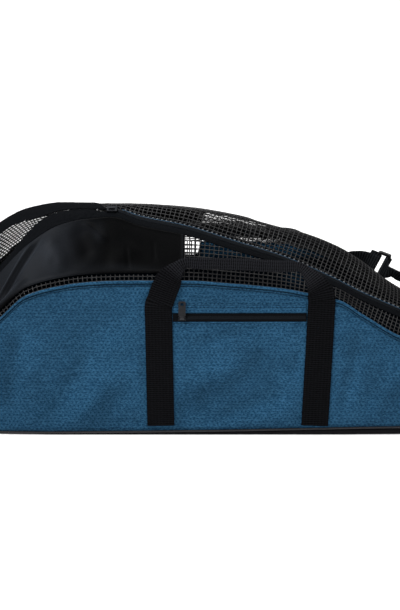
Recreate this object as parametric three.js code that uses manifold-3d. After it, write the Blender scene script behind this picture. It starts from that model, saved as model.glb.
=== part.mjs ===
// A long soft bag for one slalom ski, empty, resting on its padded base.
// Length runs along X (tip at +X), the near side faces -Y, Z is up and the floor is Z = 0.
import * as THREE from "three";
import { mergeVertices } from "three/addons/utils/BufferGeometryUtils.js";
import Module from "manifold-3d";

const wasm = await Module();
wasm.setup();

// Overall sizes in millimetres.
const LENGTH = 1800;
const WIDTH = 240;
const HEIGHT = 320;
const HALF = LENGTH / 2;
const HALF_WIDTH = WIDTH / 2;
const END_ROUND = 80;
const GAP = 0.45;

// Cloth thicknesses.
const PANEL_THICK = 3;
const MESH_THICK = 1.8;
const TARP_THICK = 1.4;
const TAPE_THICK = 1.4;

// The base and the binding along its seam.
const PIPING = 1.3;
const FLOOR_THICK = 9.5;
const SIDE_INSET = 0.3;

// The side panels lean in at the top and bulge at the middle.
const LEAN_IN = 10;
const BULGE = 6;

// The net: bars between its gaps, and the low strip under the tarpaulin.
const PERIOD = 54.7;
const BAR = 12;
const NET_START = -21.6;
const STRIP = 11.5;
const STRIP_BORDER = 3;
const NET_BORDER = 6;

// The main zipper.
const TAPE_WIDTH = 9;
const CHAIN_HALF = 2.8;
const ZIP_END = HALF - END_ROUND;
const END_BORDER = 60;
const NET_END = ZIP_END - END_BORDER;
const STATION_GAP = 5;
const SLIDER_AT = -124;
const TARP_END = NET_START - 7 * PERIOD + BAR;

// Webbing and hardware.
const WEBBING = 38;
const WEBBING_THICK = 1.8;
const GRIP = 19;
const GRIP_THICK = 3.6;
const STANDOFF = 0.65;

// Sections along the bag. "at" is a share of half the length. Sides are shares of half the width,
// heights are shares of the height, and mouth tells how far the back lip stands off the front one.
const SECTIONS = [
  { at: -1.0, base: 0.62, front: 0.244, back: 0.244, lip: 0.247, lipSide: 0.3, ridge: 0.25, ridgeSide: 0.05, mouth: 0 },
  { at: -0.8, base: 0.69, front: 0.25, back: 0.25, lip: 0.284, lipSide: 0.38, ridge: 0.306, ridgeSide: 0.08, mouth: 0 },
  { at: -0.56, base: 0.83, front: 0.27, back: 0.27, lip: 0.335, lipSide: 0.48, ridge: 0.37, ridgeSide: 0.12, mouth: 0.4 },
  { at: -0.42, base: 0.92, front: 0.34, back: 0.34, lip: 0.43, lipSide: 0.56, ridge: 0.53, ridgeSide: 0.15, mouth: 0.62 },
  { at: -0.36, base: 0.95, front: 0.42, back: 0.42, lip: 0.58, lipSide: 0.6, ridge: 0.76, ridgeSide: 0.16, mouth: 0.68 },
  { at: -0.312, base: 0.975, front: 0.525, back: 0.52, lip: 0.735, lipSide: 0.6, ridge: 0.898, ridgeSide: 0.17, mouth: 0.66 },
  { at: -0.268, base: 0.99, front: 0.631, back: 0.62, lip: 0.857, lipSide: 0.55, ridge: 0.958, ridgeSide: 0.175, mouth: 0.62 },
  { at: -0.218, base: 1.0, front: 0.672, back: 0.67, lip: 0.94, lipSide: 0.5, ridge: 0.981, ridgeSide: 0.18, mouth: 0.56 },
  { at: -0.18, base: 1.0, front: 0.688, back: 0.69, lip: 0.961, lipSide: 0.45, ridge: 0.98, ridgeSide: 0.187, mouth: 0.34 },
  { at: -0.138, base: 1.0, front: 0.695, back: 0.7, lip: 0.964, lipSide: 0.375, ridge: 0.978, ridgeSide: 0.19, mouth: 0 },
  { at: -0.093, base: 1.0, front: 0.697, back: 0.705, lip: 0.928, lipSide: 0.408, ridge: 0.973, ridgeSide: 0.195, mouth: 0 },
  { at: -0.022, base: 1.0, front: 0.697, back: 0.71, lip: 0.89, lipSide: 0.458, ridge: 0.958, ridgeSide: 0.2, mouth: 0 },
  { at: 0.053, base: 1.0, front: 0.683, back: 0.71, lip: 0.829, lipSide: 0.54, ridge: 0.922, ridgeSide: 0.205, mouth: 0 },
  { at: 0.125, base: 1.0, front: 0.663, back: 0.7, lip: 0.769, lipSide: 0.594, ridge: 0.866, ridgeSide: 0.215, mouth: 0 },
  { at: 0.163, base: 1.0, front: 0.644, back: 0.685, lip: 0.728, lipSide: 0.617, ridge: 0.838, ridgeSide: 0.218, mouth: 0 },
  { at: 0.217, base: 1.0, front: 0.608, back: 0.63, lip: 0.66, lipSide: 0.648, ridge: 0.778, ridgeSide: 0.222, mouth: 0 },
  { at: 0.25, base: 0.995, front: 0.55, back: 0.57, lip: 0.612, lipSide: 0.66, ridge: 0.725, ridgeSide: 0.225, mouth: 0 },
  { at: 0.31, base: 0.985, front: 0.45, back: 0.465, lip: 0.539, lipSide: 0.683, ridge: 0.603, ridgeSide: 0.23, mouth: 0 },
  { at: 0.38, base: 0.965, front: 0.381, back: 0.39, lip: 0.456, lipSide: 0.66, ridge: 0.5, ridgeSide: 0.2, mouth: 0 },
  { at: 0.48, base: 0.92, front: 0.312, back: 0.315, lip: 0.372, lipSide: 0.58, ridge: 0.406, ridgeSide: 0.15, mouth: 0 },
  { at: 0.62, base: 0.82, front: 0.275, back: 0.275, lip: 0.316, lipSide: 0.48, ridge: 0.35, ridgeSide: 0.1, mouth: 0 },
  { at: 0.8, base: 0.7, front: 0.256, back: 0.256, lip: 0.281, lipSide: 0.38, ridge: 0.306, ridgeSide: 0.06, mouth: 0 },
  { at: 1.0, base: 0.6, front: 0.244, back: 0.244, lip: 0.247, lipSide: 0.3, ridge: 0.25, ridgeSide: 0.05, mouth: 0 },
];

// Height of the seam over the floor, as a share of the height.
const SEAM = [
  { at: -1.0, seam: 0.01 },
  { at: -0.31, seam: 0.01 },
  { at: 0, seam: 0.018 },
  { at: 0.31, seam: 0.033 },
  { at: 1.0, seam: 0.034 },
];

// Middle line of the free part of the near handle: x is a share of half the length from the middle,
// y of half the width (towards the near side) and z of the height.
const HANDLE_TOP = [
  { x: -0.0605, y: 0.992, z: 0.615, width: 1 },
  { x: -0.0533, y: 0.987, z: 0.67, width: 1 },
  { x: -0.0458, y: 0.975, z: 0.713, width: 0.93 },
  { x: -0.0355, y: 0.942, z: 0.747, width: 0.6 },
  { x: -0.0225, y: 0.883, z: 0.769, width: 0.4 },
  { x: 0, y: 0.86, z: 0.766, width: 0.44 },
  { x: 0.034, y: 0.85, z: 0.763, width: 0.45 },
  { x: 0.0656, y: 0.845, z: 0.76, width: 0.46 },
  { x: 0.0956, y: 0.845, z: 0.755, width: 0.47 },
  { x: 0.1234, y: 0.85, z: 0.752, width: 0.46 },
  { x: 0.1418, y: 0.858, z: 0.753, width: 0.42 },
  { x: 0.1556, y: 0.875, z: 0.749, width: 0.36 },
  { x: 0.1654, y: 0.908, z: 0.729, width: 0.46 },
  { x: 0.1743, y: 0.945, z: 0.702, width: 0.64 },
  { x: 0.1807, y: 0.975, z: 0.676, width: 0.82 },
  { x: 0.1851, y: 0.99, z: 0.651, width: 0.97 },
  { x: 0.1873, y: 0.992, z: 0.622, width: 1 },
];
const LEGS = [
  { x: -0.0641, foot: -0.0613, top: 0.585 },
  { x: 0.1877, foot: 0.1795, top: 0.6 },
];
const FAR_LOOP_OUT = 6;

// Free stretch of the shoulder strap between the place where it leaves the deck and where it lies on it again.
const STRAP_FREE = [
  { x: 0.238, y: 0.64, z: 0.664, lean: 58, width: 1 },
  { x: 0.254, y: 0.629, z: 0.659, lean: 46, width: 1 },
  { x: 0.27, y: 0.619, z: 0.651, lean: 36, width: 1 },
];
const TAIL_FREE = [
  { x: 0.318, y: 0.6, z: 0.588, lean: 42, width: 0.62 },
  { x: 0.334, y: 0.6, z: 0.568, lean: 46, width: 0.74 },
  { x: 0.37, y: 0.64, z: 0.535, lean: 56, width: 0.95 },
  { x: 0.44, y: 0.66, z: 0.455, lean: 64, width: 1 },
  { x: 0.52, y: 0.64, z: 0.398, lean: 68, width: 1 },
];

// A smooth curve through one column of a table, with no overshoot between rows.
function column(rows, name) {
  const xs = rows.map((row) => row.at);
  const ys = rows.map((row) => row[name]);
  const slopes = xs.slice(1).map((x, i) => (ys[i + 1] - ys[i]) / (x - xs[i]));
  const tangents = xs.map((x, i) => {
    if (i === 0) return slopes[0];
    if (i === xs.length - 1) return slopes[i - 1];
    if (slopes[i - 1] * slopes[i] <= 0) return 0;
    return (2 * slopes[i - 1] * slopes[i]) / (slopes[i - 1] + slopes[i]);
  });
  return (at) => {
    const a = Math.min(Math.max(at, xs[0]), xs[xs.length - 1]);
    let i = 0;
    while (i < xs.length - 2 && a > xs[i + 1]) i += 1;
    const h = xs[i + 1] - xs[i];
    const t = (a - xs[i]) / h;
    const t2 = t * t;
    const t3 = t2 * t;
    return (
      (2 * t3 - 3 * t2 + 1) * ys[i] +
      (t3 - 2 * t2 + t) * h * tangents[i] +
      (3 * t2 - 2 * t3) * ys[i + 1] +
      (t3 - t2) * h * tangents[i + 1]
    );
  };
}

const shape = {};
for (const name of ["base", "front", "back", "lip", "lipSide", "ridge", "ridgeSide", "mouth"]) {
  shape[name] = column(SECTIONS, name);
}
const seamShare = column(SEAM, "seam");

// Stations along the length: round ends, and a pair of stations for each bar of the net.
function endStations(steps, last) {
  const list = [];
  for (let k = 0; k <= last; k += 1) {
    list.push(HALF - END_ROUND + END_ROUND * Math.sin(((Math.PI / 2) * k) / steps));
  }
  return list;
}
function stations(pairs, ends) {
  const middle = [];
  const most = Math.ceil(ZIP_END / PERIOD) + 1;
  for (let k = -most; k <= most; k += 1) {
    middle.push(NET_START + k * PERIOD);
    if (pairs) middle.push(NET_START + k * PERIOD + BAR);
  }
  const straight = middle.filter((x) => Math.abs(x) < ZIP_END - STATION_GAP);
  const tip = endStations(5, ends);
  const tail = tip.map((x) => -x).reverse();
  return [...tail, ...straight, ...tip];
}

function halfWidth(x) {
  const past = Math.max(0, Math.abs(x) - (HALF - END_ROUND)) / END_ROUND;
  return shape.base(x / HALF) * HALF_WIDTH * Math.sqrt(Math.max(0, 1 - past * past));
}
function seamHeight(x) {
  return seamShare(x / HALF) * HEIGHT;
}

// One point of a side panel: t is 0 at the seam and 1 at the blue edge.
function wallPoint(x, side, t) {
  const wide = Math.max(halfWidth(x), 0.25);
  const round = wide / (shape.base(x / HALF) * HALF_WIDTH);
  const low = seamHeight(x) + PIPING + GAP;
  const high = shape[side < 0 ? "front" : "back"](x / HALF) * HEIGHT;
  const share = (high - low) / HEIGHT;
  const out = wide - LEAN_IN * share * round * t + BULGE * share * round * 4 * t * (1 - t);
  return new THREE.Vector3(x, side * Math.max(out, 0.25), low + (high - low) * t);
}

// The deck's section at x, from the near blue edge over lip and ridge to the far blue edge.
const deckCache = new Map();
function deck(x) {
  if (deckCache.has(x)) return deckCache.get(x);
  const at = x / HALF;
  const wide = halfWidth(x);
  const near = wallPoint(x, -1, 1);
  const far = wallPoint(x, 1, 1);
  const lip = new THREE.Vector3(x, -shape.lipSide(at) * wide, shape.lip(at) * HEIGHT);
  const ridge = new THREE.Vector3(x, -shape.ridgeSide(at) * wide, shape.ridge(at) * HEIGHT);
  const shoulder = ridge.clone().lerp(far, 0.5);
  shoulder.z += 0.12 * (ridge.z - far.z) + 1.5;
  const curve = new THREE.CatmullRomCurve3([near, lip, ridge, shoulder, far], false, "centripetal");
  const steps = 16;
  const points = [];
  for (let k = 0; k <= 4 * steps; k += 1) points.push(curve.getPoint(k / (4 * steps)));
  const run = [0];
  for (let k = 1; k < points.length; k += 1) run.push(run[k - 1] + points[k].distanceTo(points[k - 1]));
  const lipRun = run[steps];
  const ridgeRun = run[2 * steps];
  const made = {
    points,
    run,
    total: run[run.length - 1],
    lip: lipRun,
    ridge: ridgeRun,
    backLip: lipRun + shape.mouth(at) * (ridgeRun - lipRun),
  };
  deckCache.set(x, made);
  return made;
}
function deckPoint(x, s) {
  const d = deck(x);
  let k = 0;
  while (k < d.run.length - 2 && s > d.run[k + 1]) k += 1;
  const t = (s - d.run[k]) / (d.run[k + 1] - d.run[k]);
  return d.points[k].clone().lerp(d.points[k + 1], t);
}

// Outward directions, from small steps along and across the surface.
function wallNormal(x, side, t) {
  if (Math.abs(x) > HALF - 0.01) return new THREE.Vector3(Math.sign(x), 0, 0);
  const d = Math.min(0.5, (HALF - Math.abs(x)) / 2);
  const along = wallPoint(x + d, side, t).sub(wallPoint(x - d, side, t));
  const up = wallPoint(x, side, Math.min(1, t + 0.02)).sub(wallPoint(x, side, Math.max(0, t - 0.02)));
  return along.cross(up).multiplyScalar(-side).normalize();
}
function deckNormal(x, s) {
  const d = 0.5;
  const share = s / deck(x).total;
  const along = deckPoint(x + d, share * deck(x + d).total).sub(deckPoint(x - d, share * deck(x - d).total));
  const across = deckPoint(x, s + 0.5).sub(deckPoint(x, Math.max(0, s - 0.5)));
  return along.cross(across).normalize();
}

// A closed solid from outer and inner grids of points; cells where keep says no are gaps.
function gridSolid(outer, inner, keep) {
  const columns = outer.length;
  const rows = outer[0].length;
  const positions = [];
  for (const grid of [outer, inner]) {
    for (const line of grid) for (const p of line) positions.push(p.x, p.y, p.z);
  }
  const at = (layer, i, j) => layer * columns * rows + i * rows + j;
  const faces = [];
  const quad = (a, b, c, d) => faces.push(a, b, c, a, c, d);
  const kept = (i, j) => i >= 0 && j >= 0 && i < columns - 1 && j < rows - 1 && keep(i, j);
  for (let i = 0; i < columns - 1; i += 1) {
    for (let j = 0; j < rows - 1; j += 1) {
      if (!kept(i, j)) continue;
      quad(at(0, i, j), at(0, i + 1, j), at(0, i + 1, j + 1), at(0, i, j + 1));
      quad(at(1, i, j), at(1, i, j + 1), at(1, i + 1, j + 1), at(1, i + 1, j));
      if (!kept(i - 1, j)) quad(at(0, i, j), at(0, i, j + 1), at(1, i, j + 1), at(1, i, j));
      if (!kept(i + 1, j)) quad(at(0, i + 1, j + 1), at(0, i + 1, j), at(1, i + 1, j), at(1, i + 1, j + 1));
      if (!kept(i, j - 1)) quad(at(0, i + 1, j), at(0, i, j), at(1, i, j), at(1, i + 1, j));
      if (!kept(i, j + 1)) quad(at(0, i, j + 1), at(0, i + 1, j + 1), at(1, i + 1, j + 1), at(1, i, j + 1));
    }
  }
  return closedSolid(positions, faces);
}

// Makes an indexed geometry and turns its faces outward.
function closedSolid(positions, faces) {
  let volume = 0;
  const v = (k) => new THREE.Vector3(positions[3 * k], positions[3 * k + 1], positions[3 * k + 2]);
  for (let k = 0; k < faces.length; k += 3) {
    volume += v(faces[k]).dot(v(faces[k + 1]).cross(v(faces[k + 2])));
  }
  const index = [...faces];
  if (volume < 0) {
    for (let k = 0; k < index.length; k += 3) [index[k + 1], index[k + 2]] = [index[k + 2], index[k + 1]];
  }
  const geometry = new THREE.BufferGeometry();
  geometry.setAttribute("position", new THREE.Float32BufferAttribute(positions, 3));
  geometry.setIndex(index);
  return geometry;
}

const always = () => true;

// The direction into the cloth at a blue edge, halfway between side and deck, and its length per thickness.
function mitre(x, side) {
  const total = deck(x).total;
  const a = wallNormal(x, side, 1);
  const b = deckNormal(x, side < 0 ? 0.6 : total - 0.6);
  const sum = a.clone().add(b).normalize();
  return sum.multiplyScalar(1 / Math.max(sum.dot(a), 0.6));
}

// A side panel from the seam up to its blue edge.
function sidePanel(side) {
  const levels = [0, 0.12, 0.36, 0.68, 1];
  const list = stations(true, 5);
  const outer = list.map((x) => levels.map((t) => wallPoint(x, side, t)));
  const inner = list.map((x, i) =>
    levels.map((t, j) => {
      const deep = t === 1 && Math.abs(x) < HALF - 3 ? mitre(x, side) : wallNormal(x, side, t);
      if (t === 0) deep.setZ(0).normalize();
      return outer[i][j].clone().addScaledVector(deep, -PANEL_THICK);
    }),
  );
  return gridSolid(outer, inner, always);
}

// A strip of the deck: edges gives the run of each row at x, and skin its thickness.
function deckStrip(list, edges, skin, keep, lift = 0) {
  const outer = [];
  const inner = [];
  for (const x of list) {
    const total = deck(x).total;
    const thick = skin * Math.min(1, (HALF - Math.abs(x)) / (12 * MESH_THICK));
    const top = [];
    const under = [];
    for (const s of edges(x)) {
      const p = deckPoint(x, s);
      let deep = deckNormal(x, s);
      if (s < 1) deep = mitre(x, -1);
      if (s > total - 1) deep = mitre(x, 1);
      top.push(p.clone().addScaledVector(deep, lift));
      under.push(p.clone().addScaledVector(deep, lift - thick));
    }
    outer.push(top);
    inner.push(under);
  }
  return gridSolid(outer, inner, keep);
}

const zipped = (x) => Math.abs(x) <= ZIP_END + 0.1;
function frontTop(x) {
  return deck(x).lip - (zipped(x) ? CHAIN_HALF + TAPE_WIDTH + 2 * GAP : GAP / 2);
}
function backStart(x) {
  return deck(x).backLip + (zipped(x) ? CHAIN_HALF + TAPE_WIDTH + 2 * GAP : GAP / 2);
}
function isBar(x) {
  const step = (((x - NET_START) % PERIOD) + PERIOD) % PERIOD;
  return step < BAR - 0.5 || step > PERIOD - 0.5;
}

function frontMesh() {
  const list = stations(true, 4);
  const edges = (x) => {
    const top = frontTop(x);
    const low = Math.min(STRIP, 0.5 * top);
    const border = Math.min(NET_BORDER, 0.2 * (top - low));
    const thin = Math.max(low * (STRIP_BORDER / STRIP), Math.min(2.3, 0.45 * low));
    return [GAP, thin, low - thin, low, top - border, top];
  };
  const keep = (i, j) => {
    const x = list[i];
    const underTarp = x > TARP_END - 1 && x < NET_START - 1;
    if (underTarp && j > 2) return false;
    const open = (j === 1 || j === 3) && !isBar(x) && Math.abs(x) < NET_END;
    return !open;
  };
  return deckStrip(list, edges, MESH_THICK, keep);
}

function backMesh() {
  const list = stations(true, 4);
  const edges = (x) => {
    const start = backStart(x);
    const end = deck(x).total - GAP;
    const border = Math.min(NET_BORDER, 0.08 * (end - start));
    const middle = (start + end) / 2;
    return [start, start + border, middle - border / 2, middle + border / 2, end - border, end];
  };
  const keep = (i, j) => {
    const open = (j === 1 || j === 3) && !isBar(list[i]) && Math.abs(list[i]) < NET_END;
    return !open;
  };
  return deckStrip(list, edges, MESH_THICK, keep);
}

function tarpPanel() {
  const left = TARP_END + GAP;
  const right = NET_START - GAP;
  const list = [left, ...stations(true, 4).filter((x) => x > left + 2 && x < right - 2), right];
  const edges = (x) => {
    const low = STRIP + GAP;
    const top = frontTop(x);
    return [0, 0.12, 0.35, 0.65, 0.9, 1].map((t) => low + (top - low) * t);
  };
  return deckStrip(list, edges, TARP_THICK, always);
}

function zipTape(which) {
  const list = stations(true, 0);
  const edges = (x) => {
    const d = deck(x);
    if (which === "front") return [d.lip - CHAIN_HALF - GAP - TAPE_WIDTH, d.lip - CHAIN_HALF - GAP];
    return [d.backLip + CHAIN_HALF + GAP, d.backLip + CHAIN_HALF + GAP + TAPE_WIDTH];
  };
  return deckStrip(list, edges, TAPE_THICK, always);
}

function zipChain() {
  const start = SLIDER_AT + 8;
  const list = [start, ...stations(true, 0).filter((x) => x > start + 2)];
  const edges = (x) => [deck(x).lip - CHAIN_HALF, deck(x).lip + CHAIN_HALF];
  return deckStrip(list, edges, TAPE_THICK + 1, always, 0.8);
}

// The outline of the base seen from above, moved inward by inset, as a closed loop of points.
function outline(inset, heightAt) {
  const list = stations(false, 4);
  const near = list.map((x) => {
    const n = wallNormal(x, -1, 0).setZ(0).normalize();
    const p = new THREE.Vector3(x, -halfWidth(x), 0).addScaledVector(n, -inset);
    return p.setZ(heightAt(x));
  });
  const far = near.map((p) => new THREE.Vector3(p.x, -p.y, p.z)).reverse();
  const tip = new THREE.Vector3(HALF - inset, 0, heightAt(HALF));
  const tail = new THREE.Vector3(inset - HALF, 0, heightAt(-HALF));
  return [...near, tip, ...far, tail];
}

function basePanel() {
  const brim = (x) => seamHeight(x) - PIPING - GAP;
  const loops = [
    outline(PANEL_THICK + GAP + SIDE_INSET, () => FLOOR_THICK),
    outline(PANEL_THICK + GAP + SIDE_INSET, brim),
    outline(SIDE_INSET, brim),
    outline(SIDE_INSET, () => 0.7),
    outline(SIDE_INSET + 1.6, () => 0),
  ];
  const count = loops[0].length;
  const half = (count - 2) / 2;
  const positions = [];
  for (const loop of loops) for (const p of loop) positions.push(p.x, p.y, p.z);
  const faces = [];
  for (let r = 0; r < loops.length - 1; r += 1) {
    for (let k = 0; k < count; k += 1) {
      const a = r * count + k;
      const b = r * count + ((k + 1) % count);
      faces.push(a, b, b + count, a, b + count, a + count);
    }
  }
  const cap = (offset, flip) => {
    const put = (a, b, c) => faces.push(offset + a, offset + (flip ? c : b), offset + (flip ? b : c));
    const opposite = (k) => 2 * half - k;
    for (let k = 0; k < half - 1; k += 1) {
      put(k, opposite(k), opposite(k + 1));
      put(k, opposite(k + 1), k + 1);
    }
    put(half - 1, half + 1, half);
    put(count - 1, 2 * half, 0);
  };
  cap(0, false);
  cap((loops.length - 1) * count, true);
  return closedSolid(positions, faces);
}

// A closed round binding along the seam.
function piping() {
  const sides = 6;
  const path = outline(0, seamHeight);
  const positions = [];
  path.forEach((p, k) => {
    const before = path[(k + path.length - 1) % path.length];
    const after = path[(k + 1) % path.length];
    const out = new THREE.Vector3(after.y - before.y, before.x - after.x, 0).normalize();
    for (let s = 0; s < sides; s += 1) {
      const a = (2 * Math.PI * s) / sides;
      const q = p.clone().addScaledVector(out, PIPING * Math.cos(a));
      positions.push(q.x, q.y, q.z + PIPING * Math.sin(a));
    }
  });
  const faces = [];
  for (let k = 0; k < path.length; k += 1) {
    const next = (k + 1) % path.length;
    for (let s = 0; s < sides; s += 1) {
      const t = (s + 1) % sides;
      const a = k * sides + s;
      const b = next * sides + s;
      const c = next * sides + t;
      const d = k * sides + t;
      faces.push(a, b, c, a, c, d);
    }
  }
  return closedSolid(positions, faces);
}

// A strap from frames: centre, the direction across its width, its face direction, width and thickness.
function strap(frames) {
  const positions = [];
  for (const f of frames) {
    for (const [a, b] of [[-1, -1], [1, -1], [1, 1], [-1, 1]]) {
      const p = f.centre.clone().addScaledVector(f.across, (a * f.width) / 2);
      p.addScaledVector(f.face, (b * f.thick) / 2);
      positions.push(p.x, p.y, p.z);
    }
  }
  const faces = [];
  const last = 4 * (frames.length - 1);
  for (let k = 0; k < last; k += 4) {
    for (let s = 0; s < 4; s += 1) {
      const t = (s + 1) % 4;
      faces.push(k + s, k + t, k + 4 + t, k + s, k + 4 + t, k + 4 + s);
    }
  }
  faces.push(0, 2, 1, 0, 3, 2, last, last + 1, last + 2, last, last + 2, last + 3);
  return closedSolid(positions, faces);
}

// A handle: two legs on the side panel and a free loop with a folded grip. side is -1 near, 1 far.
function handle(side) {
  const centres = [];
  const leg = (row, rising) => {
    const low = 0.045;
    const steps = [0, 0.2, 0.5, 0.8, 1];
    const made = steps.map((k) => {
      const z = (low + (row.top - low) * k) * HEIGHT;
      const x = (row.foot + (row.x - row.foot) * k) * HALF;
      const bottom = wallPoint(x, side, 0).z;
      const t = (z - bottom) / (wallPoint(x, side, 1).z - bottom);
      const out = wallNormal(x, side, t);
      const p = wallPoint(x, side, t).addScaledVector(out, STANDOFF + WEBBING_THICK / 2);
      return { p, width: WEBBING, thick: WEBBING_THICK };
    });
    return rising ? made : made.reverse();
  };
  const blend = (share) => (share - 0.5) / 0.5;
  centres.push(...leg(LEGS[0], true));
  for (const row of HANDLE_TOP) {
    const out = row.y * HALF_WIDTH + (side > 0 ? FAR_LOOP_OUT : 0);
    const p = new THREE.Vector3(row.x * HALF, side * out, row.z * HEIGHT);
    const k = blend(row.width);
    const thick = GRIP_THICK + (WEBBING_THICK - GRIP_THICK) * k;
    centres.push({ p, width: GRIP + (WEBBING - GRIP) * k, thick });
  }
  centres.push(...leg(LEGS[1], false));
  const frames = centres.map((c, k) => {
    const before = centres[Math.max(0, k - 1)].p;
    const after = centres[Math.min(centres.length - 1, k + 1)].p;
    const along = after.clone().sub(before).normalize();
    const across = along.clone().cross(new THREE.Vector3(0, 1, 0)).normalize();
    const face = along.clone().cross(across).normalize();
    return { centre: c.p, across, face, width: c.width, thick: c.thick };
  });
  return strap(frames);
}

// Frames of a strap that lies on the far half of the deck; share runs from ridge to blue edge.
function deckFrame(x, share) {
  const d = deck(x);
  const s = d.ridge + share * (d.total - d.ridge);
  const face = deckNormal(x, s);
  const across = deckPoint(x, s + 4).sub(deckPoint(x, s - 4)).normalize();
  const centre = deckPoint(x, s).addScaledVector(face, STANDOFF + 0.6 + WEBBING_THICK / 2);
  return { centre, across, face, width: WEBBING, thick: WEBBING_THICK };
}
function freeFrame(row) {
  const lean = (row.lean * Math.PI) / 180;
  const across = new THREE.Vector3(0, Math.sin(lean), -Math.cos(lean));
  const face = new THREE.Vector3(0, Math.cos(lean), Math.sin(lean));
  const centre = new THREE.Vector3(row.x * HALF, row.y * HALF_WIDTH, row.z * HEIGHT);
  return { centre, across, face, width: row.width * WEBBING, thick: WEBBING_THICK };
}

// The buckle's own frame: u along the strap, v across it, n out of its face.
const BUCKLE = { x: 0.2865, y: 0.632, z: 0.635, drop: 21, lean: 25, plate: 4, bar: 4, slot: 12, side: 4, wrap: 2.2 };
const BUCKLE_LONG = 2 * BUCKLE.bar + BUCKLE.slot;
function buckleAxes() {
  const lean = (BUCKLE.lean * Math.PI) / 180;
  const drop = (BUCKLE.drop * Math.PI) / 180;
  const u = new THREE.Vector3(Math.cos(drop), 0, -Math.sin(drop));
  const flat = new THREE.Vector3(0, Math.sin(lean), -Math.cos(lean));
  const n = flat.clone().cross(u).negate().normalize();
  if (n.z < 0) n.negate();
  const v = n.clone().cross(u).normalize();
  if (v.z > 0) v.negate();
  const origin = new THREE.Vector3(BUCKLE.x * HALF, BUCKLE.y * HALF_WIDTH, BUCKLE.z * HEIGHT);
  return { u, v, n, origin };
}
function buckleFrame(u, n, v = 0, width = 1) {
  const axes = buckleAxes();
  const centre = axes.origin.clone().addScaledVector(axes.u, u).addScaledVector(axes.n, n);
  centre.addScaledVector(axes.v, v);
  return { centre, across: axes.v, width: width * WEBBING, onBar: true };
}
// Sets the face direction of frames that bend round a bar, so that the strap keeps its thickness.
function bend(frames, thick) {
  return frames.map((f, k) => {
    if (f.face) return f;
    const before = frames[Math.max(0, k - 1)].centre;
    const after = frames[Math.min(frames.length - 1, k + 1)].centre;
    const along = after.clone().sub(before).normalize();
    return { ...f, face: along.clone().cross(f.across).normalize(), thick };
  });
}

function shoulderStrap() {
  const high = BUCKLE.plate / 2 + 0.5 + WEBBING_THICK / 2;
  const middle = BUCKLE.bar + BUCKLE.wrap;
  const lying = [];
  for (let k = 0; k <= 16; k += 1) {
    const t = k / 16;
    const x = (-0.52 + (0.222 + 0.52) * t) * HALF;
    lying.push(deckFrame(x, 0.78 - 0.06 * Math.min(1, 3 * t)));
  }
  const frames = [
    ...lying,
    ...STRAP_FREE.map(freeFrame),
    buckleFrame(-1, -high),
    buckleFrame(BUCKLE.bar, -high),
    buckleFrame(middle - 0.8, -0.7 * high),
    buckleFrame(middle, 0),
    buckleFrame(middle - 0.8, 0.7 * high),
    buckleFrame(BUCKLE.bar, high),
    buckleFrame(-3, high),
    buckleFrame(-10, high, -3, 0.85),
  ];
  return strap(alignFaces(bend(frames, WEBBING_THICK)));
}
function strapTail() {
  const high = BUCKLE.plate / 2 + 0.5 + WEBBING_THICK / 2;
  const start = BUCKLE_LONG - BUCKLE.bar;
  const middle = start - BUCKLE.wrap;
  const lying = [];
  for (let k = 0; k <= 4; k += 1) {
    lying.push(deckFrame((0.6 + 0.02 * k) * HALF, 0.7));
  }
  const frames = [
    buckleFrame(start + 8, high, 2, 0.9),
    buckleFrame(start, high),
    buckleFrame(middle + 0.8, 0.7 * high),
    buckleFrame(middle, 0),
    buckleFrame(middle + 0.8, -0.7 * high),
    buckleFrame(start, -high),
    buckleFrame(BUCKLE_LONG + 1, -high, 5, 0.8),
    ...TAIL_FREE.map(freeFrame),
    ...lying,
  ];
  return strap(alignFaces(bend(frames, WEBBING_THICK)).reverse());
}
// Squares each frame to the run of its strap. On a bar the strap keeps the bar's own direction.
function alignFaces(frames) {
  return frames.map((f, k) => {
    const before = frames[Math.max(0, k - 1)].centre;
    const after = frames[Math.min(frames.length - 1, k + 1)].centre;
    const along = after.clone().sub(before).normalize();
    const across = f.across.clone();
    if (!f.onBar) across.addScaledVector(along, -f.across.dot(along)).normalize();
    return { ...f, across, face: along.clone().cross(across).normalize() };
  });
}

function buckle() {
  const wide = WEBBING + 2 * BUCKLE.side + 2;
  const plate = new THREE.Shape();
  const r = 3;
  plate.moveTo(r, -wide / 2);
  plate.lineTo(BUCKLE_LONG - r, -wide / 2);
  plate.quadraticCurveTo(BUCKLE_LONG, -wide / 2, BUCKLE_LONG, r - wide / 2);
  plate.lineTo(BUCKLE_LONG, wide / 2 - r);
  plate.quadraticCurveTo(BUCKLE_LONG, wide / 2, BUCKLE_LONG - r, wide / 2);
  plate.lineTo(r, wide / 2);
  plate.quadraticCurveTo(0, wide / 2, 0, wide / 2 - r);
  plate.lineTo(0, r - wide / 2);
  plate.quadraticCurveTo(0, -wide / 2, r, -wide / 2);
  const solid = new THREE.ExtrudeGeometry(plate, { depth: BUCKLE.plate, bevelEnabled: false, curveSegments: 3 });
  solid.translate(0, 0, -BUCKLE.plate / 2);
  const slot = box(BUCKLE.slot, WEBBING + 2, BUCKLE.plate + 2, BUCKLE.bar + BUCKLE.slot / 2, 0, 0);
  const geometry = fromManifold(toManifold(solid).subtract(slot));
  const axes = buckleAxes();
  const v = axes.n.clone().cross(axes.u).normalize();
  const turn = new THREE.Matrix4().makeBasis(axes.u, v, axes.n).setPosition(axes.origin);
  geometry.applyMatrix4(turn);
  return geometry;
}

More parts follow.
